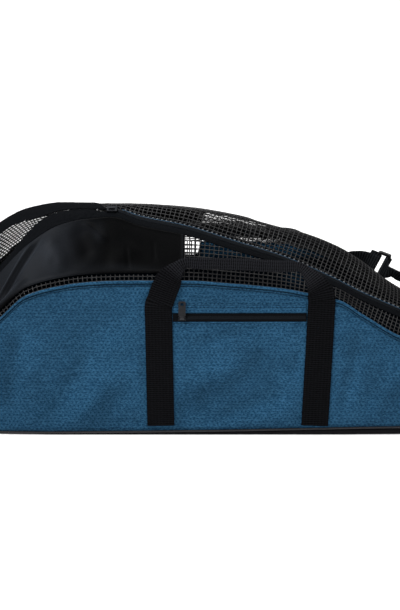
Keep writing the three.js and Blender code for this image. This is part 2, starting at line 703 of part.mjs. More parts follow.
// A thin patch on the near side panel between x0..x1 and heights z0..z1, lifted off it.
function panelPatch(x0, x1, z0, z1, lift, thick) {
  const count = 8;
  const outer = [];
  const inner = [];
  for (let k = 0; k <= count; k += 1) {
    const x = x0 + ((x1 - x0) * k) / count;
    const lines = [z0, z1].map((z) => {
      const bottom = wallPoint(x, -1, 0).z;
      const t = (z - bottom) / (wallPoint(x, -1, 1).z - bottom);
      return { p: wallPoint(x, -1, t), n: wallNormal(x, -1, t) };
    });
    outer.push(lines.map((l) => l.p.clone().addScaledVector(l.n, lift + thick)));
    inner.push(lines.map((l) => l.p.clone().addScaledVector(l.n, lift)));
  }
  return gridSolid(outer, inner, always);
}

// Solids joined with each other.
function toManifold(geometry) {
  const bare = geometry.clone();
  bare.deleteAttribute("normal");
  bare.deleteAttribute("uv");
  const merged = mergeVertices(bare, 1e-4);
  return new wasm.Manifold(
    new wasm.Mesh({
      numProp: 3,
      vertProperties: merged.attributes.position.array,
      triVerts: new Uint32Array(merged.index.array),
    }),
  );
}
function fromManifold(solid) {
  const m = solid.getMesh();
  const geometry = new THREE.BufferGeometry();
  const list = [];
  for (let k = 0; k < m.numVert; k += 1) {
    for (let c = 0; c < 3; c += 1) list.push(m.vertProperties[k * m.numProp + c]);
  }
  geometry.setAttribute("position", new THREE.Float32BufferAttribute(list, 3));
  geometry.setIndex([...m.triVerts]);
  return geometry;
}
function box(w, d, h, x, y, z) {
  return toManifold(new THREE.BoxGeometry(w, d, h).translate(x, y, z));
}
function rod(radius, length, y, z) {
  const made = new THREE.CylinderGeometry(radius, radius, length, 14);
  return toManifold(made.rotateZ(Math.PI / 2).translate(0, y, z));
}

// The pocket zipper: sizes and places on the near panel.
const POCKET = { left: -0.042, right: 0.1648, low: 0.518, high: 0.554, slider: -0.0278, chain: 5 };
const POCKET_MID = ((POCKET.low + POCKET.high) / 2) * HEIGHT;
const SLIDER = { long: 11, tall: 8, thick: 2.4, lug: 1, lugGap: 7, pin: 0.8, pinOut: 2.9 };
const PULL = { eye: 1.9, bore: 1.2, eyeWide: 6, long: 23.5, wide: 10, thick: 1.3, lean: 12, hole: 2.6 };
const TAPE_LIFT = 0.5;
const TAPE_FLAT = 0.9;
const SLIDER_LIFT = TAPE_LIFT + TAPE_FLAT + 0.4;

// Puts a solid made at the origin (outward is -Y) on the near panel at x and height z.
function onPanel(geometry, x, z, lift) {
  const bottom = wallPoint(x, -1, 0).z;
  const t = (z - bottom) / (wallPoint(x, -1, 1).z - bottom);
  const n = wallNormal(x, -1, t);
  const p = wallPoint(x, -1, t).addScaledVector(n, lift);
  const right = new THREE.Vector3(1, 0, 0).addScaledVector(n, -n.x).normalize();
  const up = right.clone().cross(n.clone().negate()).normalize();
  const turn = new THREE.Matrix4().makeBasis(right, n.clone().negate(), up).setPosition(p);
  geometry.applyMatrix4(turn);
  return geometry;
}
function pocketSlider() {
  const lugOut = SLIDER.thick + SLIDER.pinOut + SLIDER.pin + 0.5;
  const lugAt = SLIDER.lugGap / 2 + SLIDER.lug / 2;
  const solid = box(SLIDER.long, SLIDER.thick, SLIDER.tall, 0, -SLIDER.thick / 2, 0)
    .add(box(SLIDER.lug, lugOut, 3, -lugAt, -lugOut / 2, 0))
    .add(box(SLIDER.lug, lugOut, 3, lugAt, -lugOut / 2, 0))
    .add(rod(SLIDER.pin, SLIDER.lugGap + 1, -SLIDER.thick - SLIDER.pinOut, 0));
  return onPanel(fromManifold(solid), POCKET.slider * HALF, POCKET_MID, SLIDER_LIFT);
}
function pocketPull() {
  const tab = new THREE.Shape();
  tab.moveTo(-PULL.eyeWide / 2, PULL.bore + 0.2);
  tab.lineTo(PULL.eyeWide / 2, PULL.bore + 0.2);
  tab.lineTo(PULL.wide / 2, 5);
  tab.lineTo(PULL.wide / 2, PULL.long - 2);
  tab.quadraticCurveTo(PULL.wide / 2, PULL.long, PULL.wide / 2 - 2, PULL.long);
  tab.lineTo(2 - PULL.wide / 2, PULL.long);
  tab.quadraticCurveTo(-PULL.wide / 2, PULL.long, -PULL.wide / 2, PULL.long - 2);
  tab.lineTo(-PULL.wide / 2, 5);
  tab.closePath();
  const hole = new THREE.Path();
  hole.absellipse(0, PULL.long - 4.2, PULL.hole, PULL.hole * 0.75, 0, 2 * Math.PI, true);
  tab.holes.push(hole);
  const plate = new THREE.ExtrudeGeometry(tab, { depth: PULL.thick, bevelEnabled: false, curveSegments: 8 });
  plate.translate(0, 0, -PULL.thick / 2).rotateX(Math.PI / 2);
  const solid = toManifold(plate)
    .add(rod(PULL.eye, PULL.eyeWide, 0, 0))
    .subtract(rod(PULL.bore, PULL.eyeWide + 2, 0, 0));
  const geometry = fromManifold(solid).rotateX((-PULL.lean * Math.PI) / 180);
  geometry.translate(0, -SLIDER.thick - SLIDER.pinOut, 0);
  return onPanel(geometry, POCKET.slider * HALF, POCKET_MID, SLIDER_LIFT);
}

// The main slider lies on the chain where the mouth begins.
function mainSlider() {
  const d = deck(SLIDER_AT);
  const n = deckNormal(SLIDER_AT, d.lip);
  const p = deckPoint(SLIDER_AT, d.lip).addScaledVector(n, 0.5);
  const right = new THREE.Vector3(1, 0, 0).addScaledVector(n, -n.x).normalize();
  const side = n.clone().cross(right).normalize();
  const solid = box(14, 10, 3, 0, 0, 1.5).add(box(9, 3, 3.4, 0, 0, 3.2));
  const geometry = fromManifold(solid);
  geometry.applyMatrix4(new THREE.Matrix4().makeBasis(right, side, n).setPosition(p));
  return geometry;
}

const group = new THREE.Group();
group.name = "slalom_ski_bag";
function put(name, geometry, color, roughness, metalness = 0) {
  const mesh = new THREE.Mesh(geometry, new THREE.MeshStandardMaterial({ color, roughness, metalness }));
  mesh.name = name;
  mesh.material.name = name;
  group.add(mesh);
}

put("base_panel", basePanel(), 0x17171a, 0.8);
put("base_piping", piping(), 0x232326, 0.7);
put("front_panel", sidePanel(-1), 0x284a65, 0.9);
put("back_panel", sidePanel(1), 0x284a65, 0.9);
put("front_mesh", frontMesh(), 0x141416, 0.6);
put("back_mesh", backMesh(), 0x141416, 0.6);
put("tarp_panel", tarpPanel(), 0x202226, 0.45);
put("main_zip_tape_front", zipTape("front"), 0x1b1e21, 0.9);
put("main_zip_tape_back", zipTape("back"), 0x1b1e21, 0.9);
put("main_zip_chain", zipChain(), 0x1b1e21, 0.6);
put("main_zip_slider", mainSlider(), 0x2a2c2e, 0.4, 0.6);
const pocketLow = POCKET.low * HEIGHT;
const pocketHigh = POCKET.high * HEIGHT;
const pocketLeft = POCKET.left * HALF;
const pocketRight = POCKET.right * HALF;
const chainLeft = POCKET.slider * HALF + SLIDER.long / 2 + 0.5;
const chainLow = POCKET_MID - POCKET.chain / 2;
const chainHigh = POCKET_MID + POCKET.chain / 2;
const tape = panelPatch(pocketLeft, pocketRight, pocketLow, pocketHigh, TAPE_LIFT, TAPE_FLAT);
const chain = panelPatch(chainLeft, pocketRight - 1, chainLow, chainHigh, SLIDER_LIFT, 1.4);
put("pocket_zip_tape", tape, 0x16181b, 0.9);
put("pocket_zip_chain", chain, 0x1b1e21, 0.6);
put("pocket_slider", pocketSlider(), 0x55565a, 0.4, 0.8);
put("pocket_pull", pocketPull(), 0x6a6b6f, 0.4, 0.8);
put("front_handle", handle(-1), 0x131416, 0.85);
put("back_handle", handle(1), 0x131416, 0.85);
put("shoulder_strap", shoulderStrap(), 0x242628, 0.85);
put("strap_buckle", buckle(), 0x0f0f10, 0.35);
put("strap_tail", strapTail(), 0x1a1b1d, 0.7);

export default group;
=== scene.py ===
"""Looks of a long soft bag for one slalom ski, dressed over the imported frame.

Lengths in the tables and functions are millimetres; meshes are scaled to metres when they are made.
"""

import math

import bmesh
import bpy
import numpy as np
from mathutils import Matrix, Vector


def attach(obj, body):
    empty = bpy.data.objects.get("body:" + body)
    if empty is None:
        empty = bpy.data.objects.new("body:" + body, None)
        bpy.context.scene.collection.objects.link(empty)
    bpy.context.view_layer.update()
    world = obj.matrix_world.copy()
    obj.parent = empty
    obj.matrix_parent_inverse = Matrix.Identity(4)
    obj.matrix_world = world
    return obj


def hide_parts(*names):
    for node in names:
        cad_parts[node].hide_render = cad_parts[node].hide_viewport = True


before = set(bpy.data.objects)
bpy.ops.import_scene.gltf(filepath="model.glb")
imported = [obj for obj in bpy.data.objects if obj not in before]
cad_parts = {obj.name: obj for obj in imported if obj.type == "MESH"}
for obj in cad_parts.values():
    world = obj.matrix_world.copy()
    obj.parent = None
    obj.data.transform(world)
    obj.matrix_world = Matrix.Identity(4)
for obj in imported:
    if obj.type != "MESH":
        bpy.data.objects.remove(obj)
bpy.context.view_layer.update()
MM = 0.001

# Overall sizes.
LENGTH = 1800.0
WIDTH = 240.0
HEIGHT = 320.0
HALF = LENGTH / 2
HALF_WIDTH = WIDTH / 2
END_ROUND = 80.0
GAP = 0.45
PANEL_THICK = 3.0
MESH_THICK = 1.8
PIPING = 1.3
SIDE_INSET = 0.3
LEAN_IN = 10.0
BULGE = 6.0
PERIOD = 54.7
BAR = 12.0
NET_START = -21.6
STRIP = 11.5
TAPE_WIDTH = 9.0
CHAIN_HALF = 2.8
ZIP_END = HALF - END_ROUND
SLIDER_AT = -124.0
TARP_END = NET_START - 7 * PERIOD + BAR
WEBBING = 38.0
WEBBING_THICK = 1.8
GRIP = 19.0
GRIP_THICK = 3.6
STANDOFF = 0.65
FAR_LOOP_OUT = 6.0
NET_PITCH = 6.4
STRAND = 0.82
TARP_STEP = 2.2
# Half the length that the camera sees; the meshes are finer there.
SEEN = 300

# Sections along the bag: shares of half the length, half the width and the height, as in the source.
NAMES = ("at", "base", "front", "back", "lip", "lipSide", "ridge", "ridgeSide", "mouth")
SECTIONS = [
    (-1.0, 0.62, 0.244, 0.244, 0.247, 0.3, 0.25, 0.05, 0),
    (-0.8, 0.69, 0.25, 0.25, 0.284, 0.38, 0.306, 0.08, 0),
    (-0.56, 0.83, 0.27, 0.27, 0.335, 0.48, 0.37, 0.12, 0.4),
    (-0.42, 0.92, 0.34, 0.34, 0.43, 0.56, 0.53, 0.15, 0.62),
    (-0.36, 0.95, 0.42, 0.42, 0.58, 0.6, 0.76, 0.16, 0.68),
    (-0.312, 0.975, 0.525, 0.52, 0.735, 0.6, 0.898, 0.17, 0.66),
    (-0.268, 0.99, 0.631, 0.62, 0.857, 0.55, 0.958, 0.175, 0.62),
    (-0.218, 1.0, 0.672, 0.67, 0.94, 0.5, 0.981, 0.18, 0.56),
    (-0.18, 1.0, 0.688, 0.69, 0.961, 0.45, 0.98, 0.187, 0.34),
    (-0.138, 1.0, 0.695, 0.7, 0.964, 0.375, 0.978, 0.19, 0),
    (-0.093, 1.0, 0.697, 0.705, 0.928, 0.408, 0.973, 0.195, 0),
    (-0.022, 1.0, 0.697, 0.71, 0.89, 0.458, 0.958, 0.2, 0),
    (0.053, 1.0, 0.683, 0.71, 0.829, 0.54, 0.922, 0.205, 0),
    (0.125, 1.0, 0.663, 0.7, 0.769, 0.594, 0.866, 0.215, 0),
    (0.163, 1.0, 0.644, 0.685, 0.728, 0.617, 0.838, 0.218, 0),
    (0.217, 1.0, 0.608, 0.63, 0.66, 0.648, 0.778, 0.222, 0),
    (0.25, 0.995, 0.55, 0.57, 0.612, 0.66, 0.725, 0.225, 0),
    (0.31, 0.985, 0.45, 0.465, 0.539, 0.683, 0.603, 0.23, 0),
    (0.38, 0.965, 0.381, 0.39, 0.456, 0.66, 0.5, 0.2, 0),
    (0.48, 0.92, 0.312, 0.315, 0.372, 0.58, 0.406, 0.15, 0),
    (0.62, 0.82, 0.275, 0.275, 0.316, 0.48, 0.35, 0.1, 0),
    (0.8, 0.7, 0.256, 0.256, 0.281, 0.38, 0.306, 0.06, 0),
    (1.0, 0.6, 0.244, 0.244, 0.247, 0.3, 0.25, 0.05, 0),
]
SEAM = [(-1.0, 0.01), (-0.31, 0.01), (0, 0.018), (0.31, 0.033), (1.0, 0.034)]

# Middle line of the free part of the near handle: shares of half length, half width and height.
HANDLE_TOP = [
    (-0.0605, 0.992, 0.615, 1),
    (-0.0533, 0.987, 0.67, 1),
    (-0.0458, 0.975, 0.713, 0.93),
    (-0.0355, 0.942, 0.747, 0.6),
    (-0.0225, 0.883, 0.769, 0.4),
    (0, 0.86, 0.766, 0.44),
    (0.034, 0.85, 0.763, 0.45),
    (0.0656, 0.845, 0.76, 0.46),
    (0.0956, 0.845, 0.755, 0.47),
    (0.1234, 0.85, 0.752, 0.46),
    (0.1418, 0.858, 0.753, 0.42),
    (0.1556, 0.875, 0.749, 0.36),
    (0.1654, 0.908, 0.729, 0.46),
    (0.1743, 0.945, 0.702, 0.64),
    (0.1807, 0.975, 0.676, 0.82),
    (0.1851, 0.99, 0.651, 0.97),
    (0.1873, 0.992, 0.622, 1),
]
LEGS = [(-0.0641, -0.0613, 0.585), (0.1877, 0.1795, 0.6)]

# Free stretches of the strap: shares of half length, half width and height, lean in degrees, share of width.
STRAP_FREE = [(0.238, 0.64, 0.664, 58, 1), (0.254, 0.629, 0.659, 46, 1), (0.27, 0.619, 0.651, 36, 1)]
TAIL_FREE = [
    (0.318, 0.6, 0.588, 42, 0.62),
    (0.334, 0.6, 0.568, 46, 0.74),
    (0.37, 0.64, 0.535, 56, 0.95),
    (0.44, 0.66, 0.455, 64, 1),
    (0.52, 0.64, 0.398, 68, 1),
]
POCKET = {"left": -0.042, "right": 0.1648, "low": 0.518, "high": 0.554, "slider": -0.0278, "chain": 5.0}
POCKET_LEFT = POCKET["left"] * HALF
POCKET_RIGHT = POCKET["right"] * HALF
POCKET_MID = (POCKET["low"] + POCKET["high"]) / 2 * HEIGHT
BUCKLE = {
    "x": 0.2865, "y": 0.632, "z": 0.635,
    "drop": 21, "lean": 25,
    "plate": 4, "bar": 4, "slot": 12, "wrap": 2.2,
}
BUCKLE_LONG = 2 * BUCKLE["bar"] + BUCKLE["slot"]


def vec(*values):
    return np.array(values, float)


def unit(v):
    length = np.linalg.norm(v, axis=-1, keepdims=True)
    return v / np.maximum(length, 1e-9)


def smooth(a, b, x):
    """0 below a, 1 above b and a soft step between."""
    t = np.clip((x - a) / (b - a), 0, 1)
    return t * t * (3 - 2 * t)


def between(a, b, c, d, x):
    """A soft rise from a to b and a soft fall from c to d."""
    return smooth(a, b, x) * (1 - smooth(c, d, x))


def hump(x, at, wide):
    """A soft rise around one place: 1 there, and about a third at a distance of wide."""
    return np.exp(-(((x - at) / wide) ** 2))


def run_along(points):
    """The length of a line of points up to each of them."""
    return np.concatenate([[0], np.cumsum(np.linalg.norm(np.diff(points, axis=0), axis=1))])


def column(xs, ys):
    """A smooth curve through one column of a table, with no overshoot between rows."""
    xs = np.array(xs, float)
    ys = np.array(ys, float)
    slopes = np.diff(ys) / np.diff(xs)
    tangents = np.zeros(len(xs))
    tangents[0] = slopes[0]
    tangents[-1] = slopes[-1]
    for i in range(1, len(xs) - 1):
        a, b = slopes[i - 1], slopes[i]
        tangents[i] = 0 if a * b <= 0 else 2 * a * b / (a + b)

    def value(at):
        a = np.clip(np.asarray(at, float), xs[0], xs[-1])
        i = np.clip(np.searchsorted(xs, a, side="left") - 1, 0, len(xs) - 2)
        h = xs[i + 1] - xs[i]
        t = (a - xs[i]) / h
        t2 = t * t
        t3 = t2 * t
        return (
            (2 * t3 - 3 * t2 + 1) * ys[i]
            + (t3 - 2 * t2 + t) * h * tangents[i]
            + (3 * t2 - 2 * t3) * ys[i + 1]
            + (t3 - t2) * h * tangents[i + 1]
        )

    return value


AT = [row[0] for row in SECTIONS]
shape = {name: column(AT, [row[k] for row in SECTIONS]) for k, name in enumerate(NAMES) if k}
seam_share = column([row[0] for row in SEAM], [row[1] for row in SEAM])


def half_width(x):
    past = np.maximum(0, np.abs(x) - ZIP_END) / END_ROUND
    return shape["base"](x / HALF) * HALF_WIDTH * np.sqrt(np.maximum(0, 1 - past * past))


def seam_height(x):
    return seam_share(x / HALF) * HEIGHT


def wall_point(x, side, t):
    """A point of a side panel: t is 0 at the seam and 1 at the blue edge."""
    x, t = np.broadcast_arrays(np.asarray(x, float), np.asarray(t, float))
    wide = np.maximum(half_width(x), 0.25)
    round_ = wide / (shape["base"](x / HALF) * HALF_WIDTH)
    low = seam_height(x) + PIPING + GAP
    high = shape["front" if side < 0 else "back"](x / HALF) * HEIGHT
    share = (high - low) / HEIGHT
    out = wide - LEAN_IN * share * round_ * t + BULGE * share * round_ * 4 * t * (1 - t)
    return np.stack([x, side * np.maximum(out, 0.25), low + (high - low) * t], -1)


def wall_normal(x, side, t):
    x, t = np.broadcast_arrays(np.asarray(x, float), np.asarray(t, float))
    d = np.minimum(0.5, np.maximum((HALF - np.abs(x)) / 2, 1e-3))
    along = wall_point(x + d, side, t) - wall_point(x - d, side, t)
    up = wall_point(x, side, np.minimum(1, t + 0.02)) - wall_point(x, side, np.maximum(0, t - 0.02))
    n = unit(np.cross(along, up) * -side)
    tip = np.abs(x) > HALF - 0.01
    n[tip] = np.stack([np.sign(x[tip]), 0 * x[tip], 0 * x[tip]], -1)
    return n


def wall_share(x, side, z):
    """The t of a side panel's point at height z."""
    low = wall_point(x, side, 0)[..., 2]
    high = wall_point(x, side, 1)[..., 2]
    return (z - low) / (high - low)


def catmull(points, per):
    """Centripetal curve through a few points; every point is an array over the stations."""
    ends = [2 * points[0] - points[1], *points, 2 * points[-1] - points[-2]]
    made = []
    for i in range(1, len(ends) - 2):
        p0, p1, p2, p3 = ends[i - 1 : i + 3]
        pairs = ((p0, p1), (p1, p2), (p2, p3))
        dt = [np.sqrt(np.linalg.norm(b - a, axis=-1, keepdims=True)) for a, b in pairs]
        d1 = np.where(dt[1] < 1e-4, 1.0, dt[1])
        d0 = np.where(dt[0] < 1e-4, d1, dt[0])
        d2 = np.where(dt[2] < 1e-4, d1, dt[2])
        t1 = ((p1 - p0) / d0 - (p2 - p0) / (d0 + d1) + (p2 - p1) / d1) * d1
        t2 = ((p2 - p1) / d1 - (p3 - p1) / (d1 + d2) + (p3 - p2) / d2) * d1
        c2 = -3 * p1 + 3 * p2 - 2 * t1 - t2
        c3 = 2 * p1 - 2 * p2 + t1 + t2
        for k in range(per):
            w = k / per
            made.append(p1 + t1 * w + c2 * w * w + c3 * w**3)
    made.append(ends[-2])
    return np.stack(made, 1)


class Deck:
    """The skin over the top: near blue edge, lip, ridge, shoulder and far blue edge at each station."""

    def __init__(self):
        self.xs = np.linspace(-HALF, HALF, 1801)
        x = self.xs
        at = x / HALF
        wide = half_width(x)
        near = wall_point(x, -1, 1.0)
        far = wall_point(x, 1, 1.0)
        lip = np.stack([x, -shape["lipSide"](at) * wide, shape["lip"](at) * HEIGHT], -1)
        ridge = np.stack([x, -shape["ridgeSide"](at) * wide, shape["ridge"](at) * HEIGHT], -1)
        shoulder = (ridge + far) / 2
        shoulder[:, 2] += 0.12 * (ridge[:, 2] - far[:, 2]) + 1.5
        span = 16
        points = catmull([near, lip, ridge, shoulder, far], span)
        steps = np.linalg.norm(np.diff(points, axis=1), axis=-1)
        run = np.concatenate([np.zeros((len(x), 1)), np.cumsum(steps, 1)], 1)
        lips = run[:, span]
        ridges = run[:, 2 * span]
        self.total = self.along(run[:, -1])
        self.lip = self.along(lips)
        self.ridge = self.along(ridges)
        self.back_lip = self.along(lips + shape["mouth"](at) * (ridges - lips))
        share = np.linspace(0, 1, 161)
        table = np.zeros((len(x), len(share), 3))
        for i in range(len(x)):
            for c in range(3):
                table[i, :, c] = np.interp(share * run[i, -1], run[i], points[i, :, c])
        self.table = table

    def along(self, values):
        """A function of x, from one value a station."""
        return lambda x: np.interp(x, self.xs, values)

    def point(self, x, s):
        x, s = np.broadcast_arrays(np.asarray(x, float), np.asarray(s, float))
        fx = np.clip((x + HALF) / LENGTH * (len(self.xs) - 1), 0, len(self.xs) - 1.001)
        fs = np.clip(s / self.total(x), 0, 1) * (self.table.shape[1] - 1)
        fs = np.clip(fs, 0, self.table.shape[1] - 1.001)
        i = fx.astype(int)
        j = fs.astype(int)
        a = (fx - i)[..., None]
        b = (fs - j)[..., None]
        t = self.table
        return (
            t[i, j] * (1 - a) * (1 - b)
            + t[i + 1, j] * a * (1 - b)
            + t[i, j + 1] * (1 - a) * b
            + t[i + 1, j + 1] * a * b
        )

    def normal(self, x, s):
        x, s = np.broadcast_arrays(np.asarray(x, float), np.asarray(s, float))
        share = s / self.total(x)
        along = self.point(x + 2, share * self.total(x + 2)) - self.point(x - 2, share * self.total(x - 2))
        across = self.point(x, s + 1.5) - self.point(x, s - 1.5)
        return unit(np.cross(along, across))


deck = Deck()


def zipped(x):
    return np.abs(x) <= ZIP_END + 0.1


def front_top(x):
    return deck.lip(x) - np.where(zipped(x), CHAIN_HALF + TAPE_WIDTH + 2 * GAP, GAP / 2)


def back_start(x):
    return deck.back_lip(x) + np.where(zipped(x), CHAIN_HALF + TAPE_WIDTH + 2 * GAP, GAP / 2)


# Meshes from arrays.
def mesh_object(name, points, quads, tris=(), uv=None, material=None, flat=False, tone=None):
    """A mesh from points in millimetres and faces; uv holds one pair and tone one number a point."""
    points = np.asarray(points, float).reshape(-1, 3) * MM
    quads = np.asarray(quads, int).reshape(-1, 4)
    tris = np.asarray(tris, int).reshape(-1, 3)
    mesh = bpy.data.meshes.new(name)
    mesh.vertices.add(len(points))
    mesh.vertices.foreach_set("co", points.ravel())
    loops = np.concatenate([quads.ravel(), tris.ravel()])
    mesh.loops.add(len(loops))
    mesh.loops.foreach_set("vertex_index", loops)
    mesh.polygons.add(len(quads) + len(tris))
    starts = np.concatenate([np.arange(len(quads)) * 4, 4 * len(quads) + np.arange(len(tris)) * 3])
    totals = np.concatenate([np.full(len(quads), 4), np.full(len(tris), 3)])
    mesh.polygons.foreach_set("loop_start", starts)
    mesh.polygons.foreach_set("loop_total", totals)
    mesh.update(calc_edges=True)
    mesh.validate()
    if uv is not None:
        layer = mesh.uv_layers.new(name="along")
        values = np.asarray(uv, float).reshape(-1, 2)[loops]
        layer.data.foreach_set("uv", values.ravel())
    if tone is not None:
        shade = mesh.attributes.new("tone", "FLOAT", "POINT")
        shade.data.foreach_set("value", np.asarray(tone, float).ravel())
    if not flat:
        mesh.shade_smooth()
    obj = bpy.data.objects.new(name, mesh)
    bpy.context.scene.collection.objects.link(obj)
    if material is not None:
        mesh.materials.append(material)
    return obj


def grid_quads(n, m, offset=0, wrap=False):
    i = np.arange(n - 1)[:, None]
    j = np.arange(m if wrap else m - 1)[None, :]
    k = (j + 1) % m
    a = i * m + j
    b = (i + 1) * m + j
    c = (i + 1) * m + k
    d = i * m + k
    return np.stack([a, b, c, d], -1).reshape(-1, 4) + offset


def shell(outer, inner):
    """Quads and points of a closed sheet from its outer and inner grids."""
    n, m = outer.shape[:2]
    points = np.concatenate([outer.reshape(-1, 3), inner.reshape(-1, 3)])
    top = grid_quads(n, m)
    under = grid_quads(n, m, n * m)[:, ::-1]
    index = np.arange(n * m).reshape(n, m)
    ring = np.concatenate([index[:, 0], index[-1, 1:], index[-2::-1, -1], index[0, -2:0:-1]])
    nxt = np.roll(ring, -1)
    rim = np.stack([ring, ring + n * m, nxt + n * m, nxt], -1)
    return points, np.concatenate([top, under, rim])


def raised(base, normal, up, down):
    """A closed sheet between two heights over a grid of points."""
    return shell(base + normal * up[..., None], base + normal * down[..., None])


def outward(obj):
    """Turns the faces of a closed mesh outward."""
    work = bmesh.new()
    work.from_mesh(obj.data)
    bmesh.ops.recalc_face_normals(work, faces=work.faces)
    work.to_mesh(obj.data)
    work.free()
    return obj


def tube(path, radius, sides=6, closed=False):
    """Points and quads of a round tube along a path; radius may be one number or one per point."""
    path = np.asarray(path, float)
    n = len(path)
    before = np.roll(path, 1, 0) if closed else np.vstack([path[:1], path[:-1]])
    after = np.roll(path, -1, 0) if closed else np.vstack([path[1:], path[-1:]])
    along = unit(after - before)
    seed = np.where(np.abs(along[:, 2:]) < 0.9, vec(0, 0, 1), vec(0, 1, 0))
    a = unit(np.cross(along, seed))
    b = np.cross(a, along)
    radius = np.broadcast_to(np.asarray(radius, float), (n,))
    turn = 2 * np.pi * np.arange(sides) / sides
    ring = a[:, None] * np.cos(turn)[None, :, None] + b[:, None] * np.sin(turn)[None, :, None]
    points = path[:, None] + ring * radius[:, None, None]
    quads = grid_quads(n, sides, wrap=True)
    if closed:
        j = np.arange(sides)
        k = (j + 1) % sides
        last = (n - 1) * sides
        quads = np.vstack([quads, np.stack([last + j, j, k, last + k], -1)])
    return points.reshape(-1, 3), quads


class Batch:
    """Collects many small meshes into one."""

    def __init__(self):
        self.points = []
        self.quads = []
        self.tris = []
        self.count = 0

    def add_tube(self, path, radius, sides):
        """A round tube with closed ends."""
        points, quads = tube(path, radius, sides)
        fan = np.arange(1, sides - 1)
        first = np.stack([0 * fan, fan, fan + 1], -1)
        last = np.stack([0 * fan, fan + 1, fan], -1) + (len(path) - 1) * sides
        self.points.append(points)
        self.quads.append(quads + self.count)
        self.tris.append(np.vstack([first, last]) + self.count)
        self.count += len(points)

    def make(self, name, material):
        points, quads, tris = (np.concatenate(part) for part in (self.points, self.quads, self.tris))
        return mesh_object(name, points, quads, tris, np.zeros((len(points), 2)), material)


# A small repeatable value noise for wrinkles: one lattice of random numbers for each seed.
LATTICES = {}


def noise(x, y, scale, seed):
    """Soft value noise, from -1 to 1, with the given size of its blotches."""
    if seed not in LATTICES:
        LATTICES[seed] = np.random.default_rng(seed).uniform(-1, 1, (64, 64))
    table = LATTICES[seed]
    u = np.asarray(x, float) / scale
    v = np.asarray(y, float) / scale
    i = np.floor(u).astype(int)
    j = np.floor(v).astype(int)
    a = u - i
    b = v - j
    a = a * a * (3 - 2 * a)
    b = b * b * (3 - 2 * b)
    n = len(table)

    def at(p, q):
        return table[p % n, q % n]

    low = at(i, j) * (1 - a) + at(i + 1, j) * a
    high = at(i, j + 1) * (1 - a) + at(i + 1, j + 1) * a
    return low * (1 - b) + high * b


def fold(x, z, x0, z0, x1, z1, wide, depth):
    """A soft straight fold from (x0, z0) to (x1, z1): positive depth stands out."""
    ax, az = x1 - x0, z1 - z0
    length = math.hypot(ax, az)
    u = ((x - x0) * ax + (z - z0) * az) / length
    v = (-(x - x0) * az + (z - z0) * ax) / length
    return depth * hump(v, 0, wide) * between(-0.15 * length, 0.25 * length, 0.75 * length, 1.15 * length, u)


# Materials.
class Nodes:
    """Short names for building one material's node tree."""

    def __init__(self, name, rough, color=(0.1, 0.1, 0.1), metal=0.0, specular=0.5):
        self.material = bpy.data.materials.new(name)
        self.material.use_nodes = True
        self.tree = self.material.node_tree
        self.shader = self.tree.nodes["Principled BSDF"]
        self.set("Roughness", rough)
        self.set("Base Color", (*color, 1))
        self.set("Metallic", metal)
        self.set("Specular IOR Level", specular)
        self.coords = self.tree.nodes.new("ShaderNodeTexCoord")

    def set(self, socket, value):
        self.shader.inputs[socket].default_value = value

    def node(self, kind, **values):
        made = self.tree.nodes.new(kind)
        for key, value in values.items():
            if key in made.inputs:
                made.inputs[key].default_value = value
            else:
                setattr(made, key, value)
        return made

    def link(self, a, b):
        self.tree.links.new(a, b)

    def mapped(self, scale=1, source="Object", move=(0, 0, 0)):
        """Coordinates, scaled alike or with one number each way."""
        scale = scale if isinstance(scale, tuple) else (scale, scale, scale)
        mapping = self.node("ShaderNodeMapping", Scale=scale, Location=move)
        self.link(self.coords.outputs[source], mapping.inputs["Vector"])
        return mapping.outputs["Vector"]

    def noise(self, scale, detail=2.0, rough=0.5, move=(0, 0, 0)):
        made = self.node("ShaderNodeTexNoise", Scale=1.0, Detail=detail, Roughness=rough)
        self.link(self.mapped(scale, move=move), made.inputs["Vector"])
        return made.outputs["Fac"]

    def wave(self, vector, period, direction="X", distortion=0.0):
        """Even bands, with their period in millimetres."""
        made = self.node("ShaderNodeTexWave", bands_direction=direction, Distortion=distortion)
        made.inputs["Scale"].default_value = 2 * math.pi / (20 * period * MM)
        self.link(vector, made.inputs["Vector"])
        return made.outputs["Fac"]

    def tone(self):
        made = self.node("ShaderNodeAttribute", attribute_name="tone")
        return made.outputs["Fac"]

    def ramp(self, value, stops):
        made = self.node("ShaderNodeValToRGB")
        ramp = made.color_ramp
        while len(ramp.elements) < len(stops):
            ramp.elements.new(0.5)
        for element, (place, color) in zip(ramp.elements, stops):
            element.position = place
            element.color = (*color, 1)
        self.link(value, made.inputs["Fac"])
        return made.outputs["Color"]

    def math(self, kind, a, b=None, clamp=False):
        made = self.node("ShaderNodeMath", operation=kind, use_clamp=clamp)
        for k, value in enumerate((a, b)):
            if value is None:
                continue
            if isinstance(value, (int, float)):
                made.inputs[k].default_value = value
            else:
                self.link(value, made.inputs[k])
        return made.outputs[0]

    def times(self, a, b):
        """One colour multiplied by another; inputs 6 and 7 are the colour sockets of the node."""
        made = self.node("ShaderNodeMix", data_type="RGBA", blend_type="MULTIPLY")
        made.inputs[0].default_value = 1.0
        self.link(a, made.inputs[6])
        self.link(b, made.inputs[7])
        return made.outputs[2]

    def color(self, value):
        self.link(value, self.shader.inputs["Base Color"])

    def rough(self, value):
        self.link(value, self.shader.inputs["Roughness"])

    def bump(self, value, strength, distance):
        made = self.node("ShaderNodeBump", Strength=strength, Distance=distance)
        self.link(value, made.inputs["Height"])
        self.link(made.outputs["Normal"], self.shader.inputs["Normal"])


